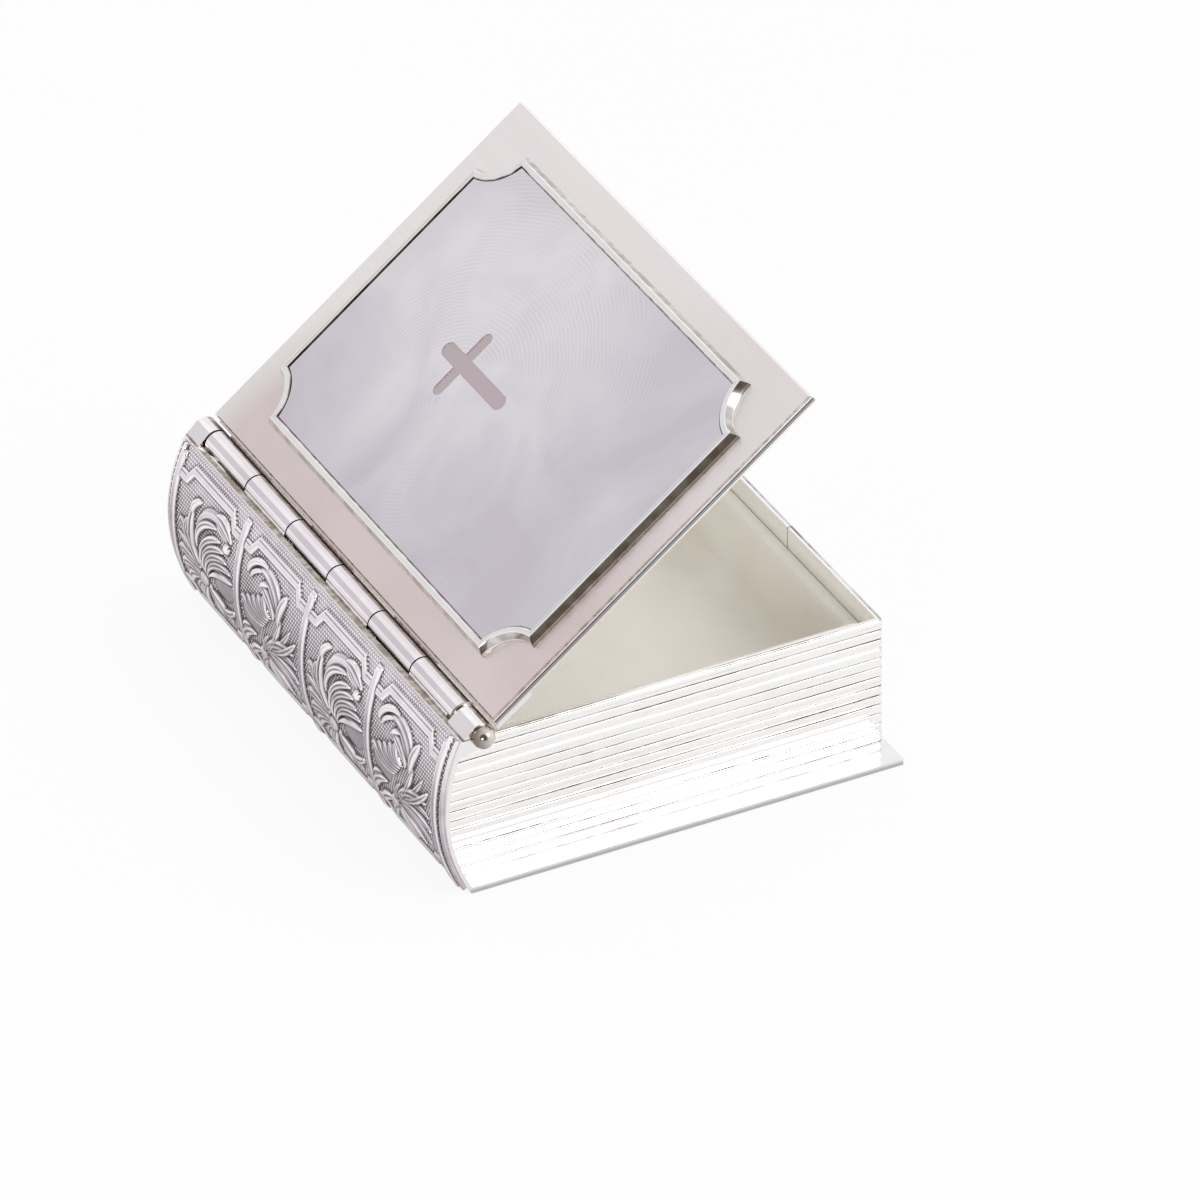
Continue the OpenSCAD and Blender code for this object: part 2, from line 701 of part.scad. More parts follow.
module mirror_plate() {
    edge_gap = 0.12;
    t = frame_h - plate_recess;
    cross_shift = -0.55;
    cross_foot = 8.2 - cross_l / 2;
    arm_y = cross_foot + cross_l * 0.69;
    color("Thistle") on_lid() translate([lid_mid, 0, lid_top + fit]) difference() {
        linear_extrude(t) scooped(frame_w + edge_gap);
        translate([cross_shift, 0, t - engrave_d]) linear_extrude(1) {
            translate([0, cross_foot + cross_l / 2]) stroke(upright_w, cross_l);
            translate([0, arm_y]) rotate([0, 0, 90]) stroke(arm_w, cross_w);
        }
    }
}

module lid_hinge_leaf() {
    leaf_half_l = half_l - 0.3;
    w1 = lid_top - lid_t - fit;
    w0 = w1 - leaf_t;
    reach = 9;
    free_u = sqrt(pow(barrel_r + swing_gap, 2) - w1 * w1) + 0.1;
    color("DarkGray") on_lid() difference() {
        union() {
            translate([free_u, -leaf_half_l, w0]) cube([reach - free_u, 2 * leaf_half_l, leaf_t]);
            for (k = [1 : 2 : knuckle_n - 1]) {
                y0 = knuckle_y(k) + knuckle_gap / 2;
                y1 = knuckle_y(k + 1) - knuckle_gap / 2;
                translate([0, y1, 0]) rotate([90, 0, 0]) cylinder(r = barrel_r, h = y1 - y0);
                translate([0, y0, w0]) cube([free_u + 1, y1 - y0, leaf_t]);
            }
        }
        translate([0, half_l, 0]) rotate([90, 0, 0]) cylinder(r = pin_r + pin_clearance, h = book_l);
    }
}

module lid_lining() {
    u0 = 9.6;
    u1 = inner_fore_x - hinge_x;
    w1 = lid_top - lid_t - fit;
    w0 = rim_z + seat_gap - hinge_z;
    half_y = inner_half_l - 0.4;
    r = 1;
    color("Ivory") on_lid() intersection() {
        profile_along_y(-half_y, half_y) soft_section(u0, u1, w0, w1, r);
        profile_along_x(u0, u1) soft_section(-half_y, half_y, w0, w1, r);
    }
}

// A slab section whose lower corners are rounded
module soft_section(a, b, w0, w1, r) {
    translate([a, w0 + r]) square([b - a, w1 - w0 - r]);
    translate([a + r, w0]) square([b - a - 2 * r, r + fit]);
    translate([a + r, w0 + r]) circle(r = r);
    translate([b - r, w0 + r]) circle(r = r);
}

bottom_cover();
page_wall_tail();
page_wall_head();
page_wall_fore();
spine_shell();
spine_plate();
base_hinge_leaf();
hinge_pin();
hinge_washer();
lining_tail();
lining_head();
lining_fore();
lining_spine();
floor_board();
floor_pad();
lid_plate();
lid_frame();
mirror_plate();
lid_hinge_leaf();
lid_lining();
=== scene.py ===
import json
import math
import random

import bpy
import bmesh
import numpy as np
from mathutils import Matrix, Vector


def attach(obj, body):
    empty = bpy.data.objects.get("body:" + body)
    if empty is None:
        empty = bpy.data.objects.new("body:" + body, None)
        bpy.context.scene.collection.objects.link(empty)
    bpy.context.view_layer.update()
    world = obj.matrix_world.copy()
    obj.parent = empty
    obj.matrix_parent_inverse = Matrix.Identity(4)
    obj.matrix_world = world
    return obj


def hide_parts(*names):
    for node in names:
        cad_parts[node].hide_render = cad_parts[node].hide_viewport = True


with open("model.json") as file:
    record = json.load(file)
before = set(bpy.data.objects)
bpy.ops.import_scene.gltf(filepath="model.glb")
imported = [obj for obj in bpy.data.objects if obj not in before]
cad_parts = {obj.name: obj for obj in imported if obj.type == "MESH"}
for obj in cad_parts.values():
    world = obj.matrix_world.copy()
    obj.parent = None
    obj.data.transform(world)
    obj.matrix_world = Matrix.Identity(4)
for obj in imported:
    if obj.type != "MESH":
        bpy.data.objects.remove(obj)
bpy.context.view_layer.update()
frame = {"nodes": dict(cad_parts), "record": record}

MM = 0.001
# Sizes of the box in millimetres, as in the part's source
HALF_L = 45.0
HALF_W = 34.7
COVER_T = 1.0
RIM_Z = 21.7
BLOCK_HALF_L = 39.5
FORE_X = 34.5
WALL_T = 1.0
RIDGES = 13
HINGE = (-32.15, 26.17)
BARREL_R = 2.0
OPEN_ANGLE = math.radians(37.5)
FOOT_IN = 0.45
ARC_OVER = 0.45
SPINE_BULGE = 3.8
PLATE_T = 0.45
LIP_DROP = 0.12
LID_W = 63.5
LID_TO_HINGE = 2.6
LID_TOP = 0.73
FIT = 0.02
MIRROR_T = 1.1
FRAME_H = 1.4
# How far the page block's two corners are rounded
CORNER_R = 0.9


def spine_circle():
    """The circle of the spine's outer face, worked out as in the part's source."""
    cz = (HINGE[1] + BARREL_R - ARC_OVER) / 2
    r = (cz * cz + SPINE_BULGE * SPINE_BULGE) / (2 * SPINE_BULGE)
    return FOOT_IN - HALF_W - SPINE_BULGE + r, cz, r


SPINE_CX, SPINE_CZ, SPINE_R = spine_circle()
# The embossed plate on that circle, and the length of its arc
PLATE_IN = SPINE_R + FIT
PLATE_OUT = PLATE_IN + PLATE_T
PLATE_Z0 = 0.6
PLATE_Z1 = HINGE[1] - LIP_DROP - 0.15
PHI_TOP = math.asin((PLATE_Z1 - SPINE_CZ) / PLATE_OUT)
PHI_LOW = math.asin((PLATE_Z0 - SPINE_CZ) / PLATE_OUT)
ARC = PLATE_OUT * (PHI_TOP - PHI_LOW)
# The panels along it, the height that the motifs are drawn at, and the mouldings round a panel
PITCH = 21.3
PANELS = 4
MOTIF_H = 27.8
LEAF_MID, LEAF_HIGH = 0.6, 0.8
BORDER_IN, BORDER_STEP, BORDER_FINE = 2.35, 1.9, 0.85
RIB_HALF = 0.85
PLATE_LIP = 0.4
# How far the floor is lifted to white where the camera sees it
FLOOR_LIFT = 0.90
# How far it is lifted where metal reflects it
GLOSS_LIFT = 0.34
# Parts of the surround: direction, angle of the edge, angle of the full tone, and tone
SURROUND = (
    ((-0.436, 0.746, 0.504), 48, 20, (0.742, 0.723, 0.745)),
    ((-0.02, 0.746, 0.665), 15, 10, (1.05, 1.05, 1.05)),
    ((-0.664, 0.746, 0.04), 12, 6, (1.05, 1.05, 1.05)),
    ((-0.38, -0.82, 0.42), 44, 27, (0.17, 0.14, 0.11)),
)


def mesh_object(name, verts, faces, body, replaces):
    """A smooth-shaded piece from points and faces."""
    mesh = bpy.data.meshes.new(name)
    mesh.from_pydata([tuple(v) for v in verts], [], [tuple(f) for f in faces])
    mesh.validate()
    mesh.update()
    obj = bpy.data.objects.new(name, mesh)
    bpy.context.scene.collection.objects.link(obj)
    mesh.polygons.foreach_set("use_smooth", [True] * len(mesh.polygons))
    return place(obj, body, replaces)


def place(obj, body, replaces):
    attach(obj, body)
    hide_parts(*replaces)
    return obj


def recalc(obj):
    """Turns all faces outward."""
    bm = bmesh.new()
    bm.from_mesh(obj.data)
    bmesh.ops.recalc_face_normals(bm, faces=bm.faces)
    bm.to_mesh(obj.data)
    bm.free()


def sharp_by_angle(obj, degrees):
    """Smooth shading with the edges over an angle kept sharp."""
    bm = bmesh.new()
    bm.from_mesh(obj.data)
    limit = math.radians(degrees)
    for e in bm.edges:
        e.smooth = not (len(e.link_faces) == 2 and e.calc_face_angle(0) > limit)
    for f in bm.faces:
        f.smooth = True
    bm.to_mesh(obj.data)
    bm.free()


# Materials
class Shader:
    """A small builder for node materials."""

    def __init__(self, name):
        self.mat = bpy.data.materials.new(name)
        self.mat.use_nodes = True
        self.tree = self.mat.node_tree
        self.bsdf = self.tree.nodes["Principled BSDF"]
        self.coord = self.add("ShaderNodeTexCoord").outputs["Object"]

    def add(self, kind, **values):
        node = self.tree.nodes.new(kind)
        for key, value in values.items():
            setattr(node, key, value)
        return node

    def link(self, a, b):
        self.tree.links.new(a, b)

    def set(self, **values):
        for key, value in values.items():
            self.bsdf.inputs[key.replace("_", " ")].default_value = value
        return self

    def mapping(self, scale):
        node = self.add("ShaderNodeMapping")
        node.inputs["Scale"].default_value = scale
        self.link(self.coord, node.inputs["Vector"])
        return node.outputs["Vector"]

    def noise(self, scale, detail=3.0, rough=0.5, distort=0.0, stretch=(1, 1, 1)):
        node = self.add("ShaderNodeTexNoise")
        self.link(self.mapping(stretch), node.inputs["Vector"])
        node.inputs["Scale"].default_value = scale
        node.inputs["Detail"].default_value = detail
        node.inputs["Roughness"].default_value = rough
        node.inputs["Distortion"].default_value = distort
        return node.outputs["Fac"]

    def ramp(self, value, stops):
        node = self.add("ShaderNodeValToRGB")
        self.link(value, node.inputs["Fac"])
        els = node.color_ramp.elements
        while len(els) < len(stops):
            els.new(0.5)
        for el, (pos, col) in zip(els, stops):
            el.position = pos
            el.color = (*col, 1)
        return node.outputs["Color"]

    def span(self, value, low, high, a=0.0, b=1.0):
        """From low to high as the value goes from a to b, with soft ends."""
        node = self.add("ShaderNodeMapRange")
        node.interpolation_type = "SMOOTHSTEP"
        self.link(value, node.inputs["Value"])
        for key, v in (("From Min", a), ("From Max", b), ("To Min", low), ("To Max", high)):
            node.inputs[key].default_value = v
        return node.outputs["Result"]

    def math(self, kind, a, b):
        node = self.add("ShaderNodeMath", operation=kind)
        for socket, v in zip(node.inputs, (a, b)):
            if isinstance(v, (int, float)):
                socket.default_value = v
            else:
                self.link(v, socket)
        return node.outputs[0]

    def window(self, value, a, b, soft):
        """One between a and b, and nothing outside them."""
        return self.math("MULTIPLY", self.span(value, 0.0, 1.0, a - soft, a + soft),
                         self.span(value, 1.0, 0.0, b - soft, b + soft))

    def axis(self, name):
        parts = self.add("ShaderNodeSeparateXYZ")
        self.link(self.coord, parts.inputs[0])
        return parts.outputs[name]

    def mix(self, fac, a, b):
        node = self.add("ShaderNodeMix", data_type="RGBA")
        for socket, v in ((node.inputs[0], fac), (node.inputs[6], a), (node.inputs[7], b)):
            if isinstance(v, (int, float)):
                socket.default_value = v
            elif isinstance(v, tuple):
                socket.default_value = (*v, 1)
            else:
                self.link(v, socket)
        return node.outputs[2]

    def bump(self, height, strength, distance, normal=None):
        node = self.add("ShaderNodeBump")
        node.inputs["Strength"].default_value = strength
        node.inputs["Distance"].default_value = distance
        self.link(height, node.inputs["Height"])
        if normal is not None:
            self.link(normal, node.inputs["Normal"])
        return node.outputs["Normal"]

    def wire(self, **sockets):
        for key, v in sockets.items():
            self.link(v, self.bsdf.inputs[key.replace("_", " ")])
        return self


def srgb(r, g, b):
    """A colour in the renderer's linear values, from the usual 0 to 255."""
    def lin(c):
        c /= 255.0
        return c / 12.92 if c <= 0.04045 else ((c + 0.055) / 1.055) ** 2.4
    return (lin(r), lin(g), lin(b))


def hairlines(s, rough):
    """Roughness and normal for metal with fine handling marks."""
    hair = s.noise(700.0, detail=2.0, stretch=(0.25, 1.0, 1.0))
    return {"Roughness": s.span(hair, rough[0], rough[1], 0.3, 0.7),
            "Normal": s.bump(hair, 0.06, 0.00003)}


def polished(name, light, dark, rough, painted_shade_tone=None, foot=None, hinge=None):
    """Plated metal with faint cloudy tarnish and hairline handling marks.

    The last three tones are painted shade: the first where a mesh's own shade values call for it,
    in grooves and as a dark reflection on the frame, foot close to the table, and hinge along the barrel's
    sides.
    """
    s = Shader(name).set(Metallic=1.0)
    colour = s.ramp(s.noise(90.0, detail=4.0, distort=0.6), [(0.30, dark), (0.65, light)])
    # Painted shade where the mesh's shade values call for it, made uneven by noise.
    if painted_shade_tone:
        shade = s.add("ShaderNodeAttribute", attribute_name="shade").outputs["Fac"]
        uneven = s.span(s.noise(420.0, detail=3.0), 0.55, 1.0, 0.35, 0.62)
        colour = s.mix(s.math("MULTIPLY", shade, uneven), colour, painted_shade_tone)
    # Painted shade along the bottom, close to the table.
    if foot:
        colour = s.mix(s.span(s.axis("Z"), 0.85, 0.0, 0.0003, 0.0009), colour, foot)
    # Painted shade along the barrel's lid side and along the spine's lip under it, broken up by noise.
    if hinge:
        across, up = s.axis("X"), s.axis("Z")
        lid_side = s.window(across, -0.0317, -0.0298, 0.00022)
        lid_side = s.math("MULTIPLY", lid_side, s.span(up, 0.0, 1.0, 0.0262, 0.0266))
        spine_side = s.window(up, 0.02600, 0.02625, 0.00008)
        lines = s.math("MAXIMUM", lid_side, spine_side)
        spots = s.span(s.noise(900.0, detail=2.0), 0.6, 1.0, 0.35, 0.6)
        colour = s.mix(s.math("MULTIPLY", lines, spots), colour, hinge)
    return s.wire(Base_Color=colour, **hairlines(s, rough))


def lid_height(s):
    """Height over the plane of the lid that holds the hinge axis, in metres."""
    normal = (-math.sin(OPEN_ANGLE), 0.0, math.cos(OPEN_ANGLE))
    dot = s.add("ShaderNodeVectorMath", operation="DOT_PRODUCT")
    s.link(s.coord, dot.inputs[0])
    dot.inputs[1].default_value = normal
    base = (HINGE[0] * normal[0] + HINGE[1] * normal[2]) * MM
    return s.math("SUBTRACT", dot.outputs["Value"], base)


def pin_metal(name):
    """Metal on the pin's ball, with painted shade on its side towards the spine."""
    s = Shader(name).set(Metallic=1.0)
    lit_side_tone = s.ramp(s.noise(500.0, detail=3.0), [(0.35, srgb(206, 198, 190)), (0.6, srgb(245, 240, 235))])
    # Painted shade: darker towards the spine, with the lit tone towards the lid.
    painted_light_side = s.span(s.axis("X"), 0.0, 1.0, -0.0341, -0.0307)
    return s.wire(Base_Color=s.mix(painted_light_side, srgb(128, 116, 106), lit_side_tone),
                  **hairlines(s, (0.14, 0.22)))


def satin(name, light, dark):
    """Fine silver brushed along the book's length, made lighter towards its far edges by painted light,
    with a painted dark reflection on the lid's rim.
    """
    s = Shader(name).set(Metallic=1.0, Anisotropic=0.3)
    brush = s.noise(900.0, detail=3.0, stretch=(1.0, 0.05, 1.0))
    cloud = s.noise(45.0, detail=3.0, distort=0.8)
    patchy_and_painted_light = s.span(s.noise(13.0, detail=1.0), -0.25, 0.25, 0.35, 0.65)
    # Painted light: paler higher up the lid and towards its far end, over random patches.
    patchy_and_painted_light = s.math("ADD", patchy_and_painted_light, s.span(s.axis("Z"), 0.0, 0.95, 0.028, 0.066))
    patchy_and_painted_light = s.math("ADD", patchy_and_painted_light, s.span(s.axis("Y"), 0.0, 0.7, 0.036, 0.045))
    colour = s.mix(patchy_and_painted_light, s.ramp(cloud, [(0.32, dark), (0.66, light)]), srgb(255, 251, 249))
    # Painted dark reflection in the groove round the lid's edge.
    edge = s.window(lid_height(s), -0.00042, 0.00020, 0.00005)
    return s.wire(Base_Color=s.mix(s.math("MULTIPLY", edge, 0.8), colour, srgb(118, 128, 132)),
                  Roughness=s.span(brush, 0.26, 0.36, 0.3, 0.7),
                  Normal=s.bump(brush, 0.12, 0.00002))


def embossed_metal():
    """Silver relief, bright on the crests and grey in the hollows, by the mesh's own cavity values: dark
    patina with painted shade in the hollows, and painted highlights on the crests.
    """
    s = Shader("embossed_silver").set(Metallic=1.0)
    cavity = s.add("ShaderNodeAttribute", attribute_name="cavity").outputs["Fac"]
    grain = s.noise(260.0, detail=5.0, rough=0.6)
    # Painted shade low on the spine, and a little painted light near its top.
    painted_light_by_height = s.span(s.axis("Z"), 0.11, -0.07, 0.014, 0.025)
    patches = s.math("MULTIPLY", s.math("SUBTRACT", grain, 0.5), 0.2)
    tone = s.math("ADD", s.math("ADD", cavity, painted_light_by_height), patches)
    s.wire(Base_Color=s.ramp(tone, [(0.26, srgb(255, 252, 254)), (0.43, srgb(228, 221, 227)),
                                    (0.57, srgb(176, 166, 172)), (0.80, srgb(96, 86, 88))]),
           Roughness=s.span(tone, 0.10, 0.34, 0.35, 0.75),
           Normal=s.bump(grain, 0.10, 0.00004))
    return s


def mirror_metal():
    """Polished plate with fine swirl marks, a painted pool of light high on the lid, and a matte floor in
    the engraved cross.
    """
    s = Shader("mirror_metal").set(Metallic=1.0)
    top = (LID_TOP + FIT + MIRROR_T) * MM
    cut = s.span(lid_height(s), 1.0, 0.0, top - 0.085 * MM, top - 0.035 * MM)
    shift = s.add("ShaderNodeMapping")
    shift.inputs["Location"].default_value = (0.012, -0.010, -0.045)
    s.link(s.coord, shift.inputs["Vector"])
    swirl = s.add("ShaderNodeTexWave", wave_type="RINGS", rings_direction="SPHERICAL")
    s.link(shift.outputs["Vector"], swirl.inputs["Vector"])
    swirl.inputs["Scale"].default_value = 480.0
    swirl.inputs["Distortion"].default_value = 7.0
    swirl.inputs["Detail"].default_value = 3.0
    swirl.inputs["Detail Scale"].default_value = 0.35
    patchy = s.span(s.noise(60.0, detail=2.0, distort=0.8), 0.0, 1.0, 0.42, 0.62)
    arcs = s.math("MULTIPLY", swirl.outputs["Fac"], patchy)
    cloud = s.noise(34.0, detail=4.0, distort=1.4)
    # Painted light: paler round a spot high on the lid.
    painted_light_pool = s.add("ShaderNodeVectorMath", operation="DISTANCE")
    s.link(s.coord, painted_light_pool.inputs[0])
    painted_light_pool.inputs[1].default_value = (0.002, 0.014, 0.055)
    tone = s.math("ADD", s.math("MULTIPLY", cloud, 0.7),
                  s.span(painted_light_pool.outputs["Value"], 0.38, 0.0, 0.006, 0.044))
    plain = s.ramp(tone, [(0.30, srgb(224, 219, 227)), (0.48, srgb(236, 233, 238)),
                          (0.72, srgb(250, 248, 250))])
    frost = s.noise(1500.0, detail=2.0)
    s.wire(Base_Color=s.mix(cut, s.mix(s.math("MULTIPLY", arcs, 0.24), plain, srgb(206, 199, 208)),
                            srgb(206, 194, 196)),
           Roughness=s.math("ADD", s.span(arcs, 0.09, 0.16), s.math("MULTIPLY", cut, 0.40)),
           Normal=s.bump(frost, 0.25, 0.00002, s.bump(arcs, 0.05, 0.00002)))
    return s


def cloth(name, light, dark):
    """Satin-faced lining cloth: fine weave, soft sheen, and slight unevenness in tone."""
    s = Shader(name).set(Roughness=0.62, Sheen_Weight=0.35, Sheen_Roughness=0.4, Specular_IOR_Level=0.3)
    waves = []
    for axis in ("X", "Y", "Z"):
        w = s.add("ShaderNodeTexWave", wave_type="BANDS", bands_direction=axis)
        s.link(s.coord, w.inputs["Vector"])
        w.inputs["Scale"].default_value = 1100.0
        w.inputs["Distortion"].default_value = 0.6
        w.inputs["Detail"].default_value = 1.0
        waves.append(w.outputs["Fac"])
    weave = s.math("ADD", waves[0], s.math("ADD", waves[1], waves[2]))
    cloud = s.noise(60.0, detail=4.0, distort=0.5)
    s.wire(Base_Color=s.mix(s.span(weave, 0.0, 0.12, 0.6, 2.4),
                            s.ramp(cloud, [(0.3, dark), (0.7, light)]), dark),
           Normal=s.bump(weave, 0.25, 0.00004, s.bump(cloud, 0.2, 0.0002)))
    return s


def card(name):
    """Plain backing board with a paper fibre."""
    s = Shader(name).set(Roughness=0.85)
    fibre = s.noise(500.0, detail=5.0, rough=0.7, stretch=(1, 0.4, 1))
    s.wire(Base_Color=s.ramp(fibre, [(0.3, srgb(170, 156, 132)), (0.7, srgb(196, 184, 160))]),
           Normal=s.bump(fibre, 0.3, 0.00006))
    return s


def build_materials():
    """The shader of each material slot."""
    return {
        # The foot, hinge and groove tones below are painted shade.
        "plated_sheet": polished("plated_sheet", srgb(247, 245, 245), srgb(238, 235, 235), (0.13, 0.22),
                                 foot=srgb(176, 180, 186), hinge=srgb(140, 122, 106)),
        "page_silver": polished("page_silver", srgb(254, 253, 252), srgb(250, 249, 248), (0.10, 0.18),
                                painted_shade_tone=srgb(112, 97, 84)),
        "embossed_silver": embossed_metal(),
        "hinge_metal": polished("hinge_metal", srgb(240, 235, 238), srgb(228, 221, 225), (0.10, 0.17),
                                hinge=srgb(146, 128, 114)),
        "pin_steel": pin_metal("pin_steel"),
        "satin_silver": satin("satin_silver", srgb(239, 228, 226), srgb(231, 218, 215)),
        "mirror_metal": mirror_metal(),
        "lining_cloth": cloth("lining_cloth", srgb(248, 246, 240), srgb(240, 236, 227)),
        "backing_card": card("backing_card"),
    }


MATERIALS = {k: v.mat for k, v in build_materials().items()}


def dress(obj, slot):
    """Gives a piece the material of its slot."""
    obj.data.materials.clear()
    obj.data.materials.append(MATERIALS[slot])


# Embossed spine
def arc_stroke(S, V, p, q, bend):
    """Place along (0 to 1) and to the left of an arc from p to q, for each grid point."""
    p, q = np.array([p[0], -p[1]], float), np.array([q[0], -q[1]], float)
    d = q - p
    chord = float(np.hypot(*d))
    along = d / chord
    left = np.array([-along[1], along[0]])
    mid = (p + q) / 2
    if abs(bend) < 0.03:
        t = ((S - p[0]) * along[0] + (V - p[1]) * along[1]) / chord
        off = (S - p[0]) * left[0] + (V - p[1]) * left[1]
        return t, off
    sign = 1.0 if bend > 0 else -1.0
    rho = (chord * chord / 4 + bend * bend) / (2 * abs(bend))
    c = mid + left * sign * (abs(bend) - rho)
    half = math.asin(min(1.0, chord / 2 / rho))
    if abs(bend) > rho:
        half = math.pi - half
    out = left * sign
    rs, rv = S - c[0], V - c[1]
    ang = np.arctan2(rs * along[0] + rv * along[1], rs * out[0] + rv * out[1])
    return (ang / half + 1) / 2, sign * (np.hypot(rs, rv) - rho)


class Relief:
    """A height map of one panel, in its own units: along the spine, and down from its top edge."""

    def __init__(self, S, A):
        self.S, self.V = S, -A
        self.H = np.zeros_like(S)
        self.plain = np.zeros_like(S)

    def leaf(self, p, q, w, h, bend, vein=0.35, belly=0.9, blunt=0.5, ribs=0):
        """A leaf w wide and h high, along the arc that rises bend over the line from p to q."""
        t, off = arc_stroke(self.S, self.V, p, q, bend)
        inside = (t > 0) & (t < 1)
        tt = np.clip(t, 1e-4, 1 - 1e-4)
        half = w / 2 * np.sin(np.pi * tt ** belly) ** blunt
        u = np.abs(off) / np.maximum(half, 1e-6)
        dome = np.where(inside & (u < 1), np.clip(1 - u * u, 0, 1) ** 0.5, 0)
        height = h * (0.25 + 0.75 * np.sin(np.pi * tt ** 0.8) ** 0.5) * dome
        if vein:
            groove = np.exp(-(off / (0.12 * w + 0.05)) ** 2)
            height = height * (1 - vein * groove * (tt > 0.05) * (tt < 0.94))
        if ribs:
            wave = 0.5 + 0.5 * np.cos(np.pi * (2 * ribs + 1) * off / w)
            height = height * (0.6 + 0.4 * wave)
        self.H = np.maximum(self.H, height)

    def dome(self, c, r, h, smooth=False, squeeze=1.0, turn=0.0):
        """A round or oval boss; smooth keeps the beads off its ground."""
        ds, dv = self.S - c[0], self.V + c[1]
        cs, sn = math.cos(turn), math.sin(turn)
        a, b = ds * cs + dv * sn, (-ds * sn + dv * cs) / squeeze
        u2 = (a * a + b * b) / (r * r)
        self.H = np.maximum(self.H, np.where(u2 < 1, h * np.clip(1 - u2, 0, 1) ** 0.5, 0))
        if smooth:
            self.plain = np.maximum(self.plain, (u2 < 1.3).astype(float))

    def row(self, n, p0, p1, q0, q1, w, h, bend, **kw):
        """A row of n leaves whose roots run from p0 to p1 and whose tips run from q0 to q1."""
        for i in range(n):
            t = i / (n - 1)
            blend = [[a + (b - a) * t for a, b in zip(u, v)] for u, v in ((p0, p1), (q0, q1))]
            self.leaf(blend[0], blend[1], w, h, bend, **kw)

    def arch_motif(self, mid, high):
        """A leaf that arches over a shower of fronds, beside a plain oval."""
        self.dome((16.6, 15.9), 3.2, 0.12, smooth=True, squeeze=0.66, turn=0.42)
        self.leaf((8.2, 13.4), (13.8, 7.0), 1.5, high, 2.1, belly=1.5)
        self.row(4, (9.2, 15.4), (11.2, 16.6), (15.3, 8.3), (19.3, 11.9), 1.5, high, 1.7, belly=1.6)
        self.row(4, (9.6, 16.6), (11.2, 17.4), (14.2, 9.6), (18.2, 13.2), 0.8, mid, 1.9, vein=0, belly=1.4)
        self.leaf((11.4, 17.0), (19.8, 13.2), 1.5, high, 1.1, vein=0.0, belly=1.8)
        self.leaf((8.5, 16.2), (2.2, 11.2), 2.4, high, -0.9, belly=1.5)
        self.leaf((5.6, 13.0), (4.7, 9.9), 1.5, high, 0.4)
        self.leaf((8.9, 16.9), (1.7, 14.0), 1.4, mid, -0.7, belly=1.3)
        self.leaf((9.2, 17.4), (1.6, 17.0), 2.2, high, -1.2, belly=1.5)
        self.leaf((9.4, 18.2), (1.7, 20.2), 2.0, high, -1.4, belly=1.4)
        self.leaf((9.7, 18.6), (3.3, 22.9), 2.0, high, -1.4, belly=1.4)
        self.leaf((10.1, 18.8), (6.1, 24.2), 1.7, mid, -1.0)
        self.leaf((10.5, 18.9), (9.2, 24.4), 1.6, high, -0.6)
        self.leaf((10.8, 19.0), (13.2, 23.9), 1.7, mid, 0.7)
        self.leaf((11.6, 18.0), (19.4, 18.6), 1.7, high, -2.0, belly=1.2)
        self.leaf((11.4, 19.0), (17.6, 21.9), 1.9, high, 1.0, belly=1.3)
        self.leaf((8.4, 11.4), (17.6, 8.0), 2.0, high, 4.3, vein=0.3, belly=1.0, blunt=0.4, ribs=1)
        self.leaf((12.7, 5.2), (18.4, 6.9), 2.2, high, 1.2, belly=1.2, vein=0.4)
        self.leaf((13.4, 6.2), (16.4, 7.6), 1.3, mid, 0.6)
        self.dome((17.6, 8.1), 0.95, high)
        self.leaf((9.3, 16.6), (6.6, 6.3), 2.3, high, 1.7, belly=0.75, vein=0.5)
        self.leaf((6.3, 8.4), (8.3, 5.5), 1.5, high, 0.8, vein=0.2)
        self.dome((10.0, 17.9), 1.3, high)

    def shell_motif(self, mid, high):
        """A fluted shell under an arching leaf, beside a spray of long leaves."""
        self.dome((4.4, 15.4), 2.7, 0.12, smooth=True, squeeze=0.8, turn=-0.2)
        self.leaf((8.6, 19.8), (12.4, 24.3), 1.7, mid, -0.9)
        self.leaf((8.9, 19.8), (15.8, 23.2), 1.8, high, 1.1, belly=1.3)
        self.leaf((9.0, 19.4), (18.6, 21.2), 1.9, mid, 1.4, belly=1.4)
        self.leaf((9.0, 19.0), (19.6, 18.3), 2.0, high, 1.6, belly=1.4)
        self.leaf((9.0, 18.6), (19.4, 15.8), 1.5, mid, 1.5, belly=1.3)
        self.leaf((8.6, 18.8), (18.7, 13.6), 1.9, high, 1.5, belly=1.5)
        self.leaf((9.4, 17.6), (19.3, 11.2), 1.4, high, -1.0, belly=1.5)
        self.leaf((8.9, 17.6), (17.3, 10.2), 1.3, mid, -1.1, belly=1.4)
        self.leaf((8.4, 18.8), (14.4, 9.6), 1.2, high, -1.3, belly=1.3)
        self.leaf((13.9, 11.6), (15.2, 5.4), 1.9, high, 0.5, belly=1.5, vein=0.25)
        self.row(5, (9.0, 14.2), (11.2, 11.6), (1.8, 12.4), (8.6, 8.8), 1.9, high, 0.35,
                 belly=1.6, blunt=0.4, vein=0.25)
        self.row(5, (8.4, 14.2), (10.6, 12.0), (2.6, 12.9), (7.8, 9.4), 0.7, mid, 0.3, vein=0)
        self.leaf((3.2, 7.8), (8.6, 4.5), 1.4, high, 1.4, vein=0.2)
        self.leaf((4.0, 8.2), (7.6, 5.6), 0.9, mid, 0.6)
        self.leaf((6.8, 5.4), (13.6, 10.2), 3.2, high, 1.9, vein=0.2, ribs=2, belly=1.3, blunt=0.42)
        self.leaf((7.6, 7.9), (12.0, 11.2), 1.9, high, 1.3, vein=0.35)
        self.leaf((7.4, 8.0), (10.3, 6.6), 1.2, high, 0.4, vein=0.0)
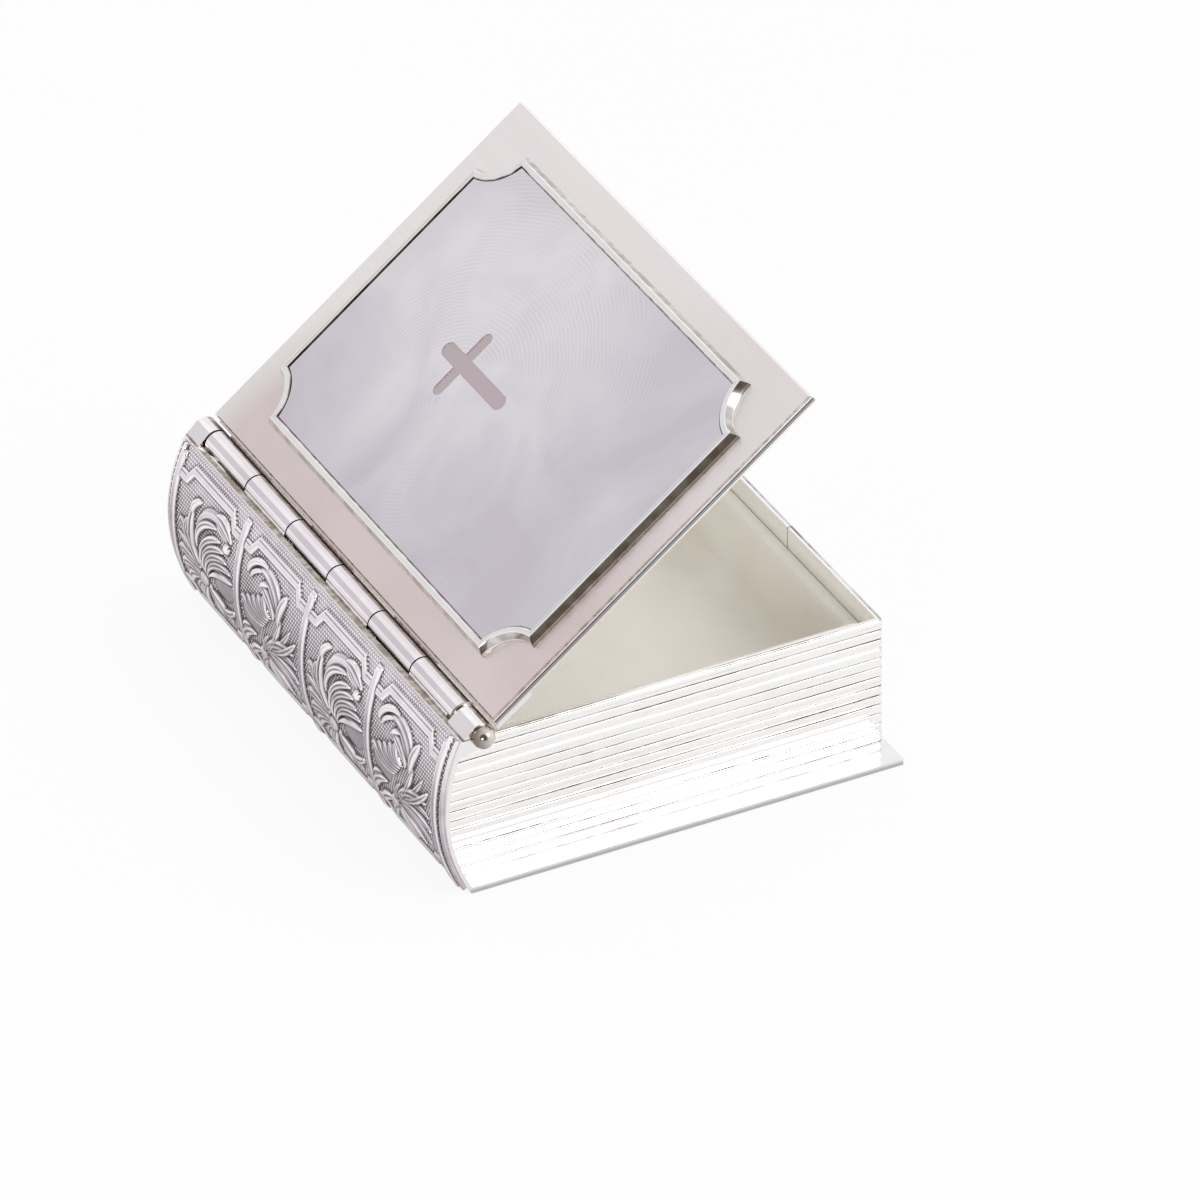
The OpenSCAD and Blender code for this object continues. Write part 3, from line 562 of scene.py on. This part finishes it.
        self.leaf((8.3, 19.6), (10.2, 15.2), 1.1, mid, 0.4)
        self.leaf((0.9, 21.6), (5.6, 17.8), 1.9, high, 1.0, belly=0.8)
        self.leaf((2.4, 23.6), (7.2, 20.2), 1.9, high, 0.9, belly=0.8)
        self.leaf((1.2, 19.2), (4.0, 17.4), 1.3, mid, 0.6)
        self.leaf((6.0, 24.2), (8.4, 20.8), 1.5, mid, 0.6)
        self.dome((8.0, 19.6), 1.2, high)


def polyline_distance(S, V, pts):
    """Distance of each grid point from a path of straight lines."""
    best = np.full_like(S, 1e9)
    for (x0, y0), (x1, y1) in zip(pts[:-1], pts[1:]):
        dx, dy = x1 - x0, y1 - y0
        t = np.clip(((S - x0) * dx + (V - y0) * dy) / (dx * dx + dy * dy), 0, 1)
        best = np.minimum(best, np.hypot(S - x0 - t * dx, V - y0 - t * dy))
    return best


def bar(dist, width, height, edge):
    """A raised moulding with a flat top and rounded shoulders."""
    u = np.clip((width / 2 - dist) / edge, 0, 1)
    return height * np.sqrt(np.clip(1 - (1 - u) ** 2, 0, 1))


def blur(H, n):
    """The map smoothed n times over its neighbours."""
    for _ in range(n):
        for ax in (0, 1):
            H = (np.roll(H, 1, ax) + 2 * H + np.roll(H, -1, ax)) / 4
    return H


def border_line(depth, k):
    """The border's path beside one long edge: it steps in by the ribs."""
    half, top, step = PITCH / 2, 0.61 * PITCH / 2, 0.74 * PITCH / 2
    inner = depth + k * BORDER_STEP
    return [(-half, inner), (-step, inner), (-top, depth), (top, depth), (step, inner), (half, inner)]


def rib(edge):
    """The upright rib between two panels, by the distance from its middle."""
    return bar(edge, 1.7, 0.5, 0.35)


def diaper(S, A):
    """The ground between the ornament: rows of small beads, set alternately."""
    fs, fa = 2 * math.pi * 1.65, 2 * math.pi * 0.88
    dots = np.cos(fs * S) * np.cos(fa * A) * 2 + np.cos(2 * fa * A)
    return 0.2 * np.clip((dots + 1.0) / 4.0, 0, 1)


def panel_map(S, A, kind):
    """Heights of one panel, whose middle is at S = PITCH / 2."""
    r = Relief(S, A * MOTIF_H / ARC)
    (r.arch_motif if kind == 0 else r.shell_motif)(LEAF_MID, LEAF_HIGH)
    ground = np.clip(1 - r.H / 0.1, 0, 1) * (1 - r.plain)
    H = r.H + diaper(S, A) * ground
    T = S - PITCH / 2
    for depth, k in ((BORDER_IN, 1), (ARC - BORDER_IN, -1)):
        d = polyline_distance(T, A, border_line(depth, k))
        fine = polyline_distance(T, A, border_line(depth - k * BORDER_FINE, k))
        H = np.where(d < 0.75, bar(d, 1.3, 0.4, 0.3), H)
        H = np.maximum(H, bar(fine, 0.5, 0.36, 0.2))
    edge = np.minimum(S, PITCH - S)
    end = np.clip(np.minimum(A - 0.7, ARC - 0.6 - A) / 0.6, 0, 1)
    return np.where(edge < RIB_HALF, rib(edge) * np.sqrt(end), H)


def relief_map(s_all, a_all):
    """Heights of the whole plate: the panels, the ground past the last ribs, and a flat lip."""
    S, A = np.meshgrid(s_all, a_all, indexing="ij")
    H = np.zeros_like(S)
    for i in range(-1, PANELS + 1):
        cols = (s_all >= i * PITCH) & (s_all < (i + 1) * PITCH)
        local = S[cols] - i * PITCH
        if 0 <= i < PANELS:
            H[cols] = panel_map(local, A[cols], i % 2)
        else:
            edge = np.minimum(local, PITCH - local)
            H[cols] = np.where(edge < RIB_HALF, rib(edge), diaper(local, A[cols]))
    lip = (s_all < s_all.min() + PLATE_LIP) | (s_all > s_all.max() - PLATE_LIP)
    H[lip] = 0.24
    return H


def surface_mesh(name, verts, quads, others):
    """A mesh from an array of quads and a few longer faces."""
    loops = np.concatenate([quads.ravel()] + [np.array(f) for f in others]).astype(np.int32)
    sizes = np.array([4] * len(quads) + [len(f) for f in others])
    starts = np.concatenate([[0], np.cumsum(sizes)[:-1]]).astype(np.int32)
    mesh = bpy.data.meshes.new(name)
    mesh.vertices.add(len(verts))
    mesh.vertices.foreach_set("co", verts.ravel())
    mesh.loops.add(len(loops))
    mesh.loops.foreach_set("vertex_index", loops)
    mesh.polygons.add(len(sizes))
    mesh.polygons.foreach_set("loop_start", starts)
    mesh.polygons.foreach_set("use_smooth", sizes == 4)
    mesh.update(calc_edges=True)
    return mesh


def spine_relief():
    """The embossed plate as a fine height map bent to the spine, closed by a skirt and a back."""
    step = 0.1
    y_end = HALF_L - 0.55
    n_s, n_a = int(2 * y_end / step) + 1, int(ARC / step) + 1
    ys = np.linspace(y_end, -y_end, n_s)
    a_all = np.linspace(0, ARC, n_a)
    H = blur(relief_map(PANELS / 2 * PITCH - ys, a_all), 1)
    cavity = 1.2 * (blur(H, 24) - H) + 3.0 * (blur(H, 4) - H)
    edge = np.minimum(np.minimum(np.arange(n_s)[:, None], np.arange(n_s)[::-1][:, None]),
                      np.minimum(np.arange(n_a)[None, :], np.arange(n_a)[::-1][None, :])) * step
    H = H - 0.12 * np.clip(1 - edge / 0.25, 0, 1) ** 2
    phi = PHI_TOP - a_all / PLATE_OUT
    radius = PLATE_OUT + H
    Y = np.repeat(ys[:, None], n_a, 1)
    front = np.stack([SPINE_CX - radius * np.cos(phi)[None, :], Y,
                      SPINE_CZ + radius * np.sin(phi)[None, :]], -1).reshape(-1, 3)
    base, last_s, last_a = n_s * n_a, n_s - 1, n_a - 1
    rim = [(i, 0) for i in range(n_s)] + [(last_s, j) for j in range(1, n_a)]
    rim += [(i, last_a) for i in range(last_s - 1, -1, -1)] + [(0, j) for j in range(last_a - 1, 0, -1)]
    back = {ij: base + k for k, ij in enumerate(rim)}
    behind = [(SPINE_CX - PLATE_IN * math.cos(phi[j]), ys[i], SPINE_CZ + PLATE_IN * math.sin(phi[j]))
              for i, j in rim]
    I, J = np.meshgrid(np.arange(last_s), np.arange(last_a), indexing="ij")
    k = (I * n_a + J).ravel()
    quads = np.stack([k, k + 1, k + n_a + 1, k + n_a], -1)
    m = len(rim)
    at = np.array([i * n_a + j for i, j in rim])
    nxt = (np.arange(m) + 1) % m
    skirt = np.stack([at, at[nxt], base + nxt, base + np.arange(m)], -1)
    bands = np.array([[back[0, j], back[last_s, j], back[last_s, j + 1], back[0, j + 1]]
                      for j in range(1, last_a - 1)])
    first = [back[i, 0] for i in range(n_s)] + [back[last_s, 1], back[0, 1]]
    last = [back[0, last_a - 1], back[last_s, last_a - 1]]
    last += [back[i, last_a] for i in range(last_s, -1, -1)]
    verts = np.concatenate([front, np.array(behind)]) * MM
    mesh = surface_mesh("spine_relief", verts, np.concatenate([quads, skirt, bands]), [first, last])
    attr = mesh.attributes.new("cavity", "FLOAT", "POINT")
    values = np.concatenate([np.clip(0.5 + cavity.ravel(), 0, 1), np.full(m, 0.25)])
    attr.data.foreach_set("value", values.astype(np.float32))
    obj = bpy.data.objects.new("spine_relief", mesh)
    bpy.context.scene.collection.objects.link(obj)
    place(obj, "base", ["spine_plate"])
    dress(obj, "embossed_silver")
    return obj


# Page block
def arc_x(r, z):
    """Where the spine's circle, with radius r, stands at a height."""
    return SPINE_CX - math.sqrt(r * r - (z - SPINE_CZ) ** 2)


def page_profile():
    """Offset, height and painted shade of the block's section, once round, in millimetres."""
    pitch = (RIM_Z - COVER_T) / RIDGES
    rng = random.Random(7)
    pts = []
    for i in range(RIDGES):
        z0 = COVER_T + i * pitch
        deep, swell = rng.uniform(0.7, 1.2), rng.uniform(-0.02, 0.02)
        line, faint = rng.uniform(0.75, 1.0), rng.choice((0.1, 0.25, 0.5))
        # The shade values paint shade into each groove, with a faint painted line on some faces.
        for f, d, shade in ((0.0, -0.26, line), (0.035, -0.22, line), (0.06, -0.12, line * 0.9),
                            (0.10, -0.04, line * 0.45), (0.16, -0.012, 0.0), (0.35, 0.0, 0.0),
                            (0.45, 0.0, 0.0), (0.50, -0.006, faint), (0.55, 0.0, 0.0), (0.65, 0.0, 0.0),
                            (0.82, -0.012, 0.0), (0.89, -0.04, line * 0.35), (0.94, -0.12, line * 0.8),
                            (0.965, -0.22, line)):
            shift = swell if 0.05 < f < 0.95 else 0.0
            pts.append((min(0.0, d * deep), z0 + (f + shift) * pitch, shade))
    # Painted shade on the rim's top.
    pts += [(-0.26, RIM_Z - 0.06, 0.6), (-0.32, RIM_Z, 0.9), (-0.58, RIM_Z, 0.8), (-0.61, RIM_Z, 0.0),
            (-WALL_T + 0.1, RIM_Z, 0.0), (-WALL_T, RIM_Z - 0.1, 0.0), (-WALL_T, COVER_T, 0.0)]
    return pts


def wall_path(stops):
    """Places along the block's outer line with outward directions, corners rounded."""
    path = []
    for kind, data in stops:
        if kind == "line":
            (x0, y0), (x1, y1), (nx, ny), n = data
            for i in range(n + 1):
                t = i / n
                path.append((x0 + (x1 - x0) * t, y0 + (y1 - y0) * t, nx, ny))
        else:
            cx, cy, a0, a1 = data
            for i in range(1, 8):
                a = math.radians(a0 + (a1 - a0) * i / 8)
                path.append((cx + CORNER_R * math.cos(a), cy + CORNER_R * math.sin(a),
                             math.cos(a), math.sin(a)))
    return path


def z_band(z):
    """Which ridge of the block a height belongs to, counted from groove to groove."""
    return int((z - COVER_T) / (RIM_Z - COVER_T) * RIDGES + 0.3)


def page_block():
    """The ridged block: two walls round the well that meet in a seam on the fore edge."""
    profile = page_profile()
    seam, past_spine = (-11.9, -11.75), -36.0
    r, b, f = CORNER_R, BLOCK_HALF_L, FORE_X
    near = wall_path([("line", ((past_spine, -b), (f - r, -b), (0, -1), 24)),
                      ("arc", (f - r, -b + r, -90, 0)),
                      ("line", ((f, -b + r), (f, seam[0]), (1, 0), 12))])
    far = wall_path([("line", ((f, seam[1]), (f, b - r), (1, 0), 16)),
                     ("arc", (f - r, b - r, 0, 90)),
                     ("line", ((f - r, b), (past_spine, b), (0, 1), 24))])
    verts, faces, shades = [], [], []
    m = len(profile)
    rng = random.Random(11)
    phases = [rng.uniform(0, math.tau) for _ in range(m)]
    for path, trimmed in ((near, 0), (far, len(far) - 1)):
        base = len(verts)
        for k, (x, y, nx, ny) in enumerate(path):
            for d, z, shade in profile:
                px = arc_x(SPINE_R - 0.66, z) if k == trimmed else x + d * nx
                verts.append((px * MM, (y + d * ny) * MM, z * MM))
                # The painted shade comes and goes along each groove.
                shades.append(shade * (0.68 + 0.32 * math.sin(0.5 * k + phases[z_band(z)])))
        n = len(path)
        for k in range(n - 1):
            for i in range(m):
                a, c = base + k * m + i, base + k * m + (i + 1) % m
                faces.append((a, c, c + m, a + m))
        faces.append(tuple(base + i for i in range(m))[::-1])
        faces.append(tuple(base + (n - 1) * m + i for i in range(m)))
    obj = mesh_object("page_block", verts, faces, "base",
                      ["page_wall_tail", "page_wall_head", "page_wall_fore"])
    obj.data.attributes.new("shade", "FLOAT", "POINT").data.foreach_set("value", shades)
    recalc(obj)
    sharp_by_angle(obj, 28)
    dress(obj, "page_silver")
    return obj


# Lid frame
LID_MID = LID_TO_HINGE + LID_W / 2
FRAME_HX = LID_W / 2 - 4.92
FRAME_HY = HALF_L - 4.45
SCOOP = 6.2


def on_lid(u, v, w):
    """A place on the lid, from the hinge axis, taken to where the open lid is."""
    c, s = math.cos(OPEN_ANGLE), math.sin(OPEN_ANGLE)
    return ((HINGE[0] + u * c - w * s) * MM, v * MM, (HINGE[1] + u * s + w * c) * MM)


def scooped_ring(inset):
    """The frame's outline set in by inset, with the same number of points for every inset."""
    n_arc, n_x, n_y = 20, 10, 16
    r = SCOOP + inset
    reach = math.asin(inset / r)
    pts = []
    for cx, cy, start in ((1, 1, 180), (-1, 1, 270), (-1, -1, 0), (1, -1, 90)):
        centre = (cx * FRAME_HX, cy * FRAME_HY)
        a0, a1 = math.radians(start) + reach, math.radians(start + 90) - reach
        if inset == 0:
            a0, a1 = math.radians(start), math.radians(start + 90)
        arc = [(centre[0] + r * math.cos(a1 + (a0 - a1) * i / n_arc),
                centre[1] + r * math.sin(a1 + (a0 - a1) * i / n_arc)) for i in range(n_arc + 1)]
        pts.append(arc)
    ring = []
    for k in range(4):
        arc = pts[k]
        ring += arc
        end, nxt = arc[-1], pts[(k + 1) % 4][0]
        n = n_x if k % 2 == 0 else n_y
        ring += [(end[0] + (nxt[0] - end[0]) * i / n, end[1] + (nxt[1] - end[1]) * i / n)
                 for i in range(1, n)]
    return ring


def lid_frame():
    """The frame's moulding: an upright foot, a flat slope above it, and a flat land on top."""
    foot, top = 0.75, 0.75 + FRAME_H
    # Inset, height and painted shade: a painted dark reflection up the outer slope, and painted shadow at
    # the inner edge beside the plate
    profile = [(0.0, foot, 0.5), (0.0, foot + 0.08, 0.3), (0.03, foot + 0.14, 0.2),
               (0.05, foot + 0.38, 0.2), (0.08, foot + 0.44, 0.65), (0.60, top - 0.12, 0.6),
               (0.65, top - 0.05, 0.1), (0.72, top - 0.005, 0), (0.80, top, 0), (1.12, top, 0),
               (1.16, top - 0.03, 0.5), (1.20, top, 0), (1.40, top, 0), (1.47, top - 0.03, 0.3),
               (1.58, top - 0.12, 0.95), (1.66, top - 0.2, 1.0), (1.66, foot, 0.8)]
    rings = [scooped_ring(d) for d, _, _ in profile]
    n = len(rings[0])
    verts = [on_lid(LID_MID + x, y, w) for (_, w, _), ring in zip(profile, rings) for x, y in ring]
    faces = []
    for k in range(len(profile)):
        k2 = (k + 1) % len(profile)
        for i in range(n):
            j = (i + 1) % n
            faces.append((k * n + i, k * n + j, k2 * n + j, k2 * n + i))
    obj = mesh_object("lid_frame_moulding", verts, faces, "lid", ["lid_frame"])
    # Painted shade values for the moulding.
    shades = [float(shade) for _, _, shade in profile for _ in range(n)]
    obj.data.attributes.new("shade", "FLOAT", "POINT").data.foreach_set("value", shades)
    recalc(obj)
    sharp_by_angle(obj, 32)
    dress(obj, "page_silver")
    return obj


# Padded lining, with the scale and the length of its simulation
SIM_SCALE = 6.0
SIM_FRAMES = 20


def pad_lines(length, r, cell):
    """Places across a pad from edge to edge, close together over its rounded edges."""
    shares = (0.0, 0.03, 0.12, 0.25, 0.4, 0.65, 1.0) if r > 2 else (0.0, 0.12, 0.4, 1.0)
    near = [share * r for share in shares]
    n = max(4, int((length - 2 * r) / cell))
    middle = [r + (length - 2 * r) * i / n for i in range(1, n)]
    return near + middle + [length - v for v in reversed(near)]


def pad_shell(size, thick, r, rng, turn=-1):
    """Points and faces of a slab with a flat back at 0, in millimetres.

    Its upper edges are rounded off, or curve up into a hollow where turn is 1.
    """
    xs, ys = (pad_lines(v, r, 1.7) for v in size)
    nx, ny = len(xs), len(ys)
    top, low = [], []
    for i, x in enumerate(xs):
        for j, y in enumerate(ys):
            drop = 0.0
            for v, length in ((x, size[0]), (y, size[1])):
                e = min(1.0, min(v, length - v) / r)
                drop = max(drop, r * (1 - math.sqrt(1 - (1 - e) ** 2)))
            inner = 0 < i < nx - 1 and 0 < j < ny - 1
            uneven = rng.uniform(-0.02, 0.02) if inner else 0
            top.append((x - size[0] / 2, y - size[1] / 2, thick + turn * drop + uneven))
            low.append((x - size[0] / 2, y - size[1] / 2, 0.0))
    m = nx * ny
    faces = []
    for i in range(nx - 1):
        for j in range(ny - 1):
            a = i * ny + j
            faces.append((a, a + ny, a + ny + 1, a + 1))
            faces.append((m + a, m + a + 1, m + a + ny + 1, m + a + ny))
    ring = [j for j in range(ny)] + [i * ny + ny - 1 for i in range(1, nx)]
    ring += [(nx - 1) * ny + j for j in range(ny - 2, -1, -1)] + [i * ny for i in range(nx - 2, 0, -1)]
    for a, b in zip(ring, ring[1:] + ring[:1]):
        faces.append((a, b, m + b, m + a))
    return top + low, faces, set(ring)


def blow_up(obj, held, lift):
    """Cloth pressure on the shell, in a larger scale, with each point's movement capped."""
    scene = bpy.context.scene
    start = np.array([v.co[:] for v in obj.data.vertices])
    obj.data.vertices.foreach_set("co", (start * SIM_SCALE).ravel())
    group = obj.vertex_groups.new(name="held")
    for index, weight in held.items():
        group.add([index], weight, "REPLACE")
    mod = obj.modifiers.new("cloth", "CLOTH")
    c = mod.settings
    c.quality, c.mass = 6, 0.3
    c.tension_stiffness = c.compression_stiffness = 18.0
    c.shear_stiffness, c.bending_stiffness = 6.0, 0.6
    c.use_pressure, c.uniform_pressure_force = True, 4.0
    c.shrink_min = -0.015
    c.vertex_group_mass = "held"
    c.effector_weights.gravity = 0.0
    mod.collision_settings.use_collision = False
    mod.point_cache.frame_start, mod.point_cache.frame_end = 1, SIM_FRAMES
    for f in range(1, SIM_FRAMES + 1):
        scene.frame_set(f)
    moved = obj.evaluated_get(bpy.context.evaluated_depsgraph_get()).data
    after = np.array([v.co[:] for v in moved.vertices]) / SIM_SCALE
    obj.modifiers.remove(mod)
    obj.vertex_groups.remove(group)
    scene.frame_set(1)
    move = after - start
    size = np.linalg.norm(move, axis=1, keepdims=True)
    peak = np.percentile(size, 99)
    cap = lift / max(peak, 1e-9)
    move = move * cap * np.minimum(1.0, peak / np.maximum(size, 1e-9))
    box = np.abs(start[:, :2]).max(0)
    after = start + move
    after[:, :2] = np.clip(after[:, :2], -box, box)
    obj.data.vertices.foreach_set("co", after.ravel())


def pad(name, body, node, size, thick, lift, r, where, seed=1, turn=-1):
    """One cloth-covered padded board; where takes its own x, y and height to the frame."""
    rng = random.Random(seed)
    points, faces, ring = pad_shell(size, thick, r, rng, turn)
    obj = mesh_object(name, [Vector(p) * MM for p in points], faces, body, [node])
    m = len(points) // 2
    held = {i: 1.0 for i in range(m, 2 * m)}
    held.update({i: 0.35 for i in ring})
    blow_up(obj, held, lift * MM)
    round_off = obj.modifiers.new("round", "SUBSURF")
    round_off.levels = 1
    mesh = bpy.data.meshes.new_from_object(obj.evaluated_get(bpy.context.evaluated_depsgraph_get()))
    obj.modifiers.remove(round_off)
    obj.data = mesh
    for v in mesh.vertices:
        v.co = Vector(where(*(c / MM for c in v.co)))
    recalc(obj)
    mesh.polygons.foreach_set("use_smooth", [True] * len(mesh.polygons))
    dress(obj, "lining_cloth")
    return obj


def lining():
    """The padded boards round the inside, the floor cushion and the pad under the lid."""
    z0, z1, fore_z = 1.05, 21.2, 18.2
    y_wall, x_fore, x_spine = 38.46, 33.46, -33.18
    thick, lift, r = 1.9, 0.25, 1.3

    def mm(x, y, z):
        return (x * MM, y * MM, z * MM)

    mid_x, span_x = (31.1 - 30.85) / 2, 31.1 + 30.85
    rise, mid_z = z1 - z0, (z1 + z0) / 2
    pad("lining_tail_pad", "base", "lining_tail", (span_x, rise), thick, lift, r,
        lambda a, b, h: mm(mid_x + a, h - y_wall, mid_z + b), seed=3)
    pad("lining_head_pad", "base", "lining_head", (span_x, rise), thick, lift, r,
        lambda a, b, h: mm(mid_x + a, y_wall - h, mid_z + b), seed=4)
    pad("lining_spine_pad", "base", "lining_spine", (2 * y_wall, rise), thick, lift, r,
        lambda a, b, h: mm(x_spine + h, a, mid_z + b), seed=5)
    pad("lining_fore_pad", "base", "lining_fore", (2 * y_wall, fore_z - z0), thick, lift, r,
        lambda a, b, h: mm(x_fore - h, a, (fore_z + z0) / 2 + b), seed=6)
    pad("floor_cushion", "base", "floor_pad", (62.9, 73.2), 1.5, 0.35, 4.2,
        lambda a, b, h: mm(0.14 + a, b, 1.86 + h), seed=7, turn=1)
    pad("lid_lining_pad", "lid", "lid_lining", (56.0, 76.1), 3.0, 0.28, 1.4,
        lambda a, b, h: on_lid(37.62 + a, b, -0.9 - h), seed=8)


# Stage, light and camera
def stage():
    """Pale paper under the box: white to the camera, with the box's shadow left on it."""
    e, z = 3.0, -0.0002
    mesh = bpy.data.meshes.new("floor")
    mesh.from_pydata([(-e, -e, z), (e, -e, z), (e, e, z), (-e, e, z)], [], [(0, 1, 2, 3)])
    floor = bpy.data.objects.new("floor", mesh)
    bpy.context.scene.collection.objects.link(floor)
    s = Shader("floor_paper").set(Roughness=0.9, Specular_IOR_Level=0.1)
    s.wire(Base_Color=s.ramp(s.noise(30.0), [(0.0, (0.92, 0.92, 0.92)), (1.0, (0.94, 0.94, 0.94))]))
    glow = s.add("ShaderNodeEmission")
    path = s.add("ShaderNodeLightPath")
    both = s.add("ShaderNodeMixShader")
    s.link(s.math("ADD", s.math("MULTIPLY", path.outputs["Is Camera Ray"], FLOOR_LIFT),
                  s.math("MULTIPLY", path.outputs["Is Glossy Ray"], GLOSS_LIFT)), both.inputs[0])
    s.link(s.bsdf.outputs["BSDF"], both.inputs[1])
    s.link(glow.outputs["Emission"], both.inputs[2])
    s.link(both.outputs["Shader"], s.tree.nodes["Material Output"].inputs["Surface"])
    floor.data.materials.append(s.mat)


def area(name, loc, target, size, power):
    """A round white lamp aimed at a place."""
    data = bpy.data.lights.new(name, "AREA")
    data.shape, data.size, data.energy = "DISK", size, power
    obj = bpy.data.objects.new(name, data)
    bpy.context.scene.collection.objects.link(obj)
    obj.location = loc
    obj.rotation_mode = "QUATERNION"
    obj.rotation_quaternion = (Vector(target) - Vector(loc)).to_track_quat("-Z", "Y")


def lights():
    """A white surround with the parts of SURROUND in it, plain white to the camera, and two lamps."""
    world = bpy.data.worlds.new("studio")
    bpy.context.scene.world = world
    world.use_nodes = True
    t = world.node_tree
    bg = t.nodes["Background"]
    coord = t.nodes.new("ShaderNodeTexCoord")
    colour = None
    for direction, edge, heart, tone in SURROUND:
        dot = t.nodes.new("ShaderNodeVectorMath")
        dot.operation = "DOT_PRODUCT"
        dot.inputs[1].default_value = Vector(direction).normalized()
        t.links.new(coord.outputs["Generated"], dot.inputs[0])
        span = t.nodes.new("ShaderNodeMapRange")
        span.interpolation_type = "SMOOTHSTEP"
        span.inputs["From Min"].default_value = math.cos(math.radians(edge))
        span.inputs["From Max"].default_value = math.cos(math.radians(heart))
        t.links.new(dot.outputs["Value"], span.inputs["Value"])
        mix = t.nodes.new("ShaderNodeMix")
        mix.data_type = "RGBA"
        t.links.new(span.outputs["Result"], mix.inputs[0])
        if colour is None:
            mix.inputs[6].default_value = (0.97, 0.97, 0.97, 1)
        else:
            t.links.new(colour, mix.inputs[6])
        mix.inputs[7].default_value = (*tone, 1)
        colour = mix.outputs[2]
    path = t.nodes.new("ShaderNodeLightPath")
    seen = t.nodes.new("ShaderNodeMix")
    seen.data_type = "RGBA"
    t.links.new(path.outputs["Is Camera Ray"], seen.inputs[0])
    t.links.new(colour, seen.inputs[6])
    seen.inputs[7].default_value = (1, 1, 1, 1)
    t.links.new(seen.outputs[2], bg.inputs["Color"])
    bg.inputs["Strength"].default_value = 1.0
    area("key", (0.50, -0.70, 0.75), (0, 0, 0.01), 0.6, 2.4)
    area("fill", (-0.60, -0.76, 0.29), (0.01, 0, 0.015), 0.28, 1.6)


def camera():
    """The photograph's camera, fitted to the box's edges: focal length over width, both in pixels."""
    focal_px, width_px = 12702.075, 1200
    right = Vector((0.89052575, -0.45481146, -0.01050846))
    down = Vector((-0.25858735, -0.4870421, -0.83421974))
    ahead = Vector((0.37429463, 0.74561151, -0.55133202))
    place_m = Vector((-0.67708, -1.36696, 1.02062))
    data = bpy.data.cameras.new("camera")
    data.sensor_width = 36.0
    data.lens = focal_px / width_px * data.sensor_width
    data.clip_start, data.clip_end = 0.05, 20.0
    obj = bpy.data.objects.new("camera", data)
    bpy.context.scene.collection.objects.link(obj)
    axes = (right, -down, -ahead)
    obj.matrix_world = Matrix([[axes[0][i], axes[1][i], axes[2][i], place_m[i]] for i in range(3)]
                              + [[0, 0, 0, 1]])
    bpy.context.scene.camera = obj


def main():
    camera()
    for row in frame["record"]["subparts"]:
        dress(frame["nodes"][row["node"]], row["material_slot"])
    spine_relief()
    page_block()
    lid_frame()
    lining()
    stage()
    lights()
    bpy.context.scene.view_settings.view_transform = "Standard"


main()
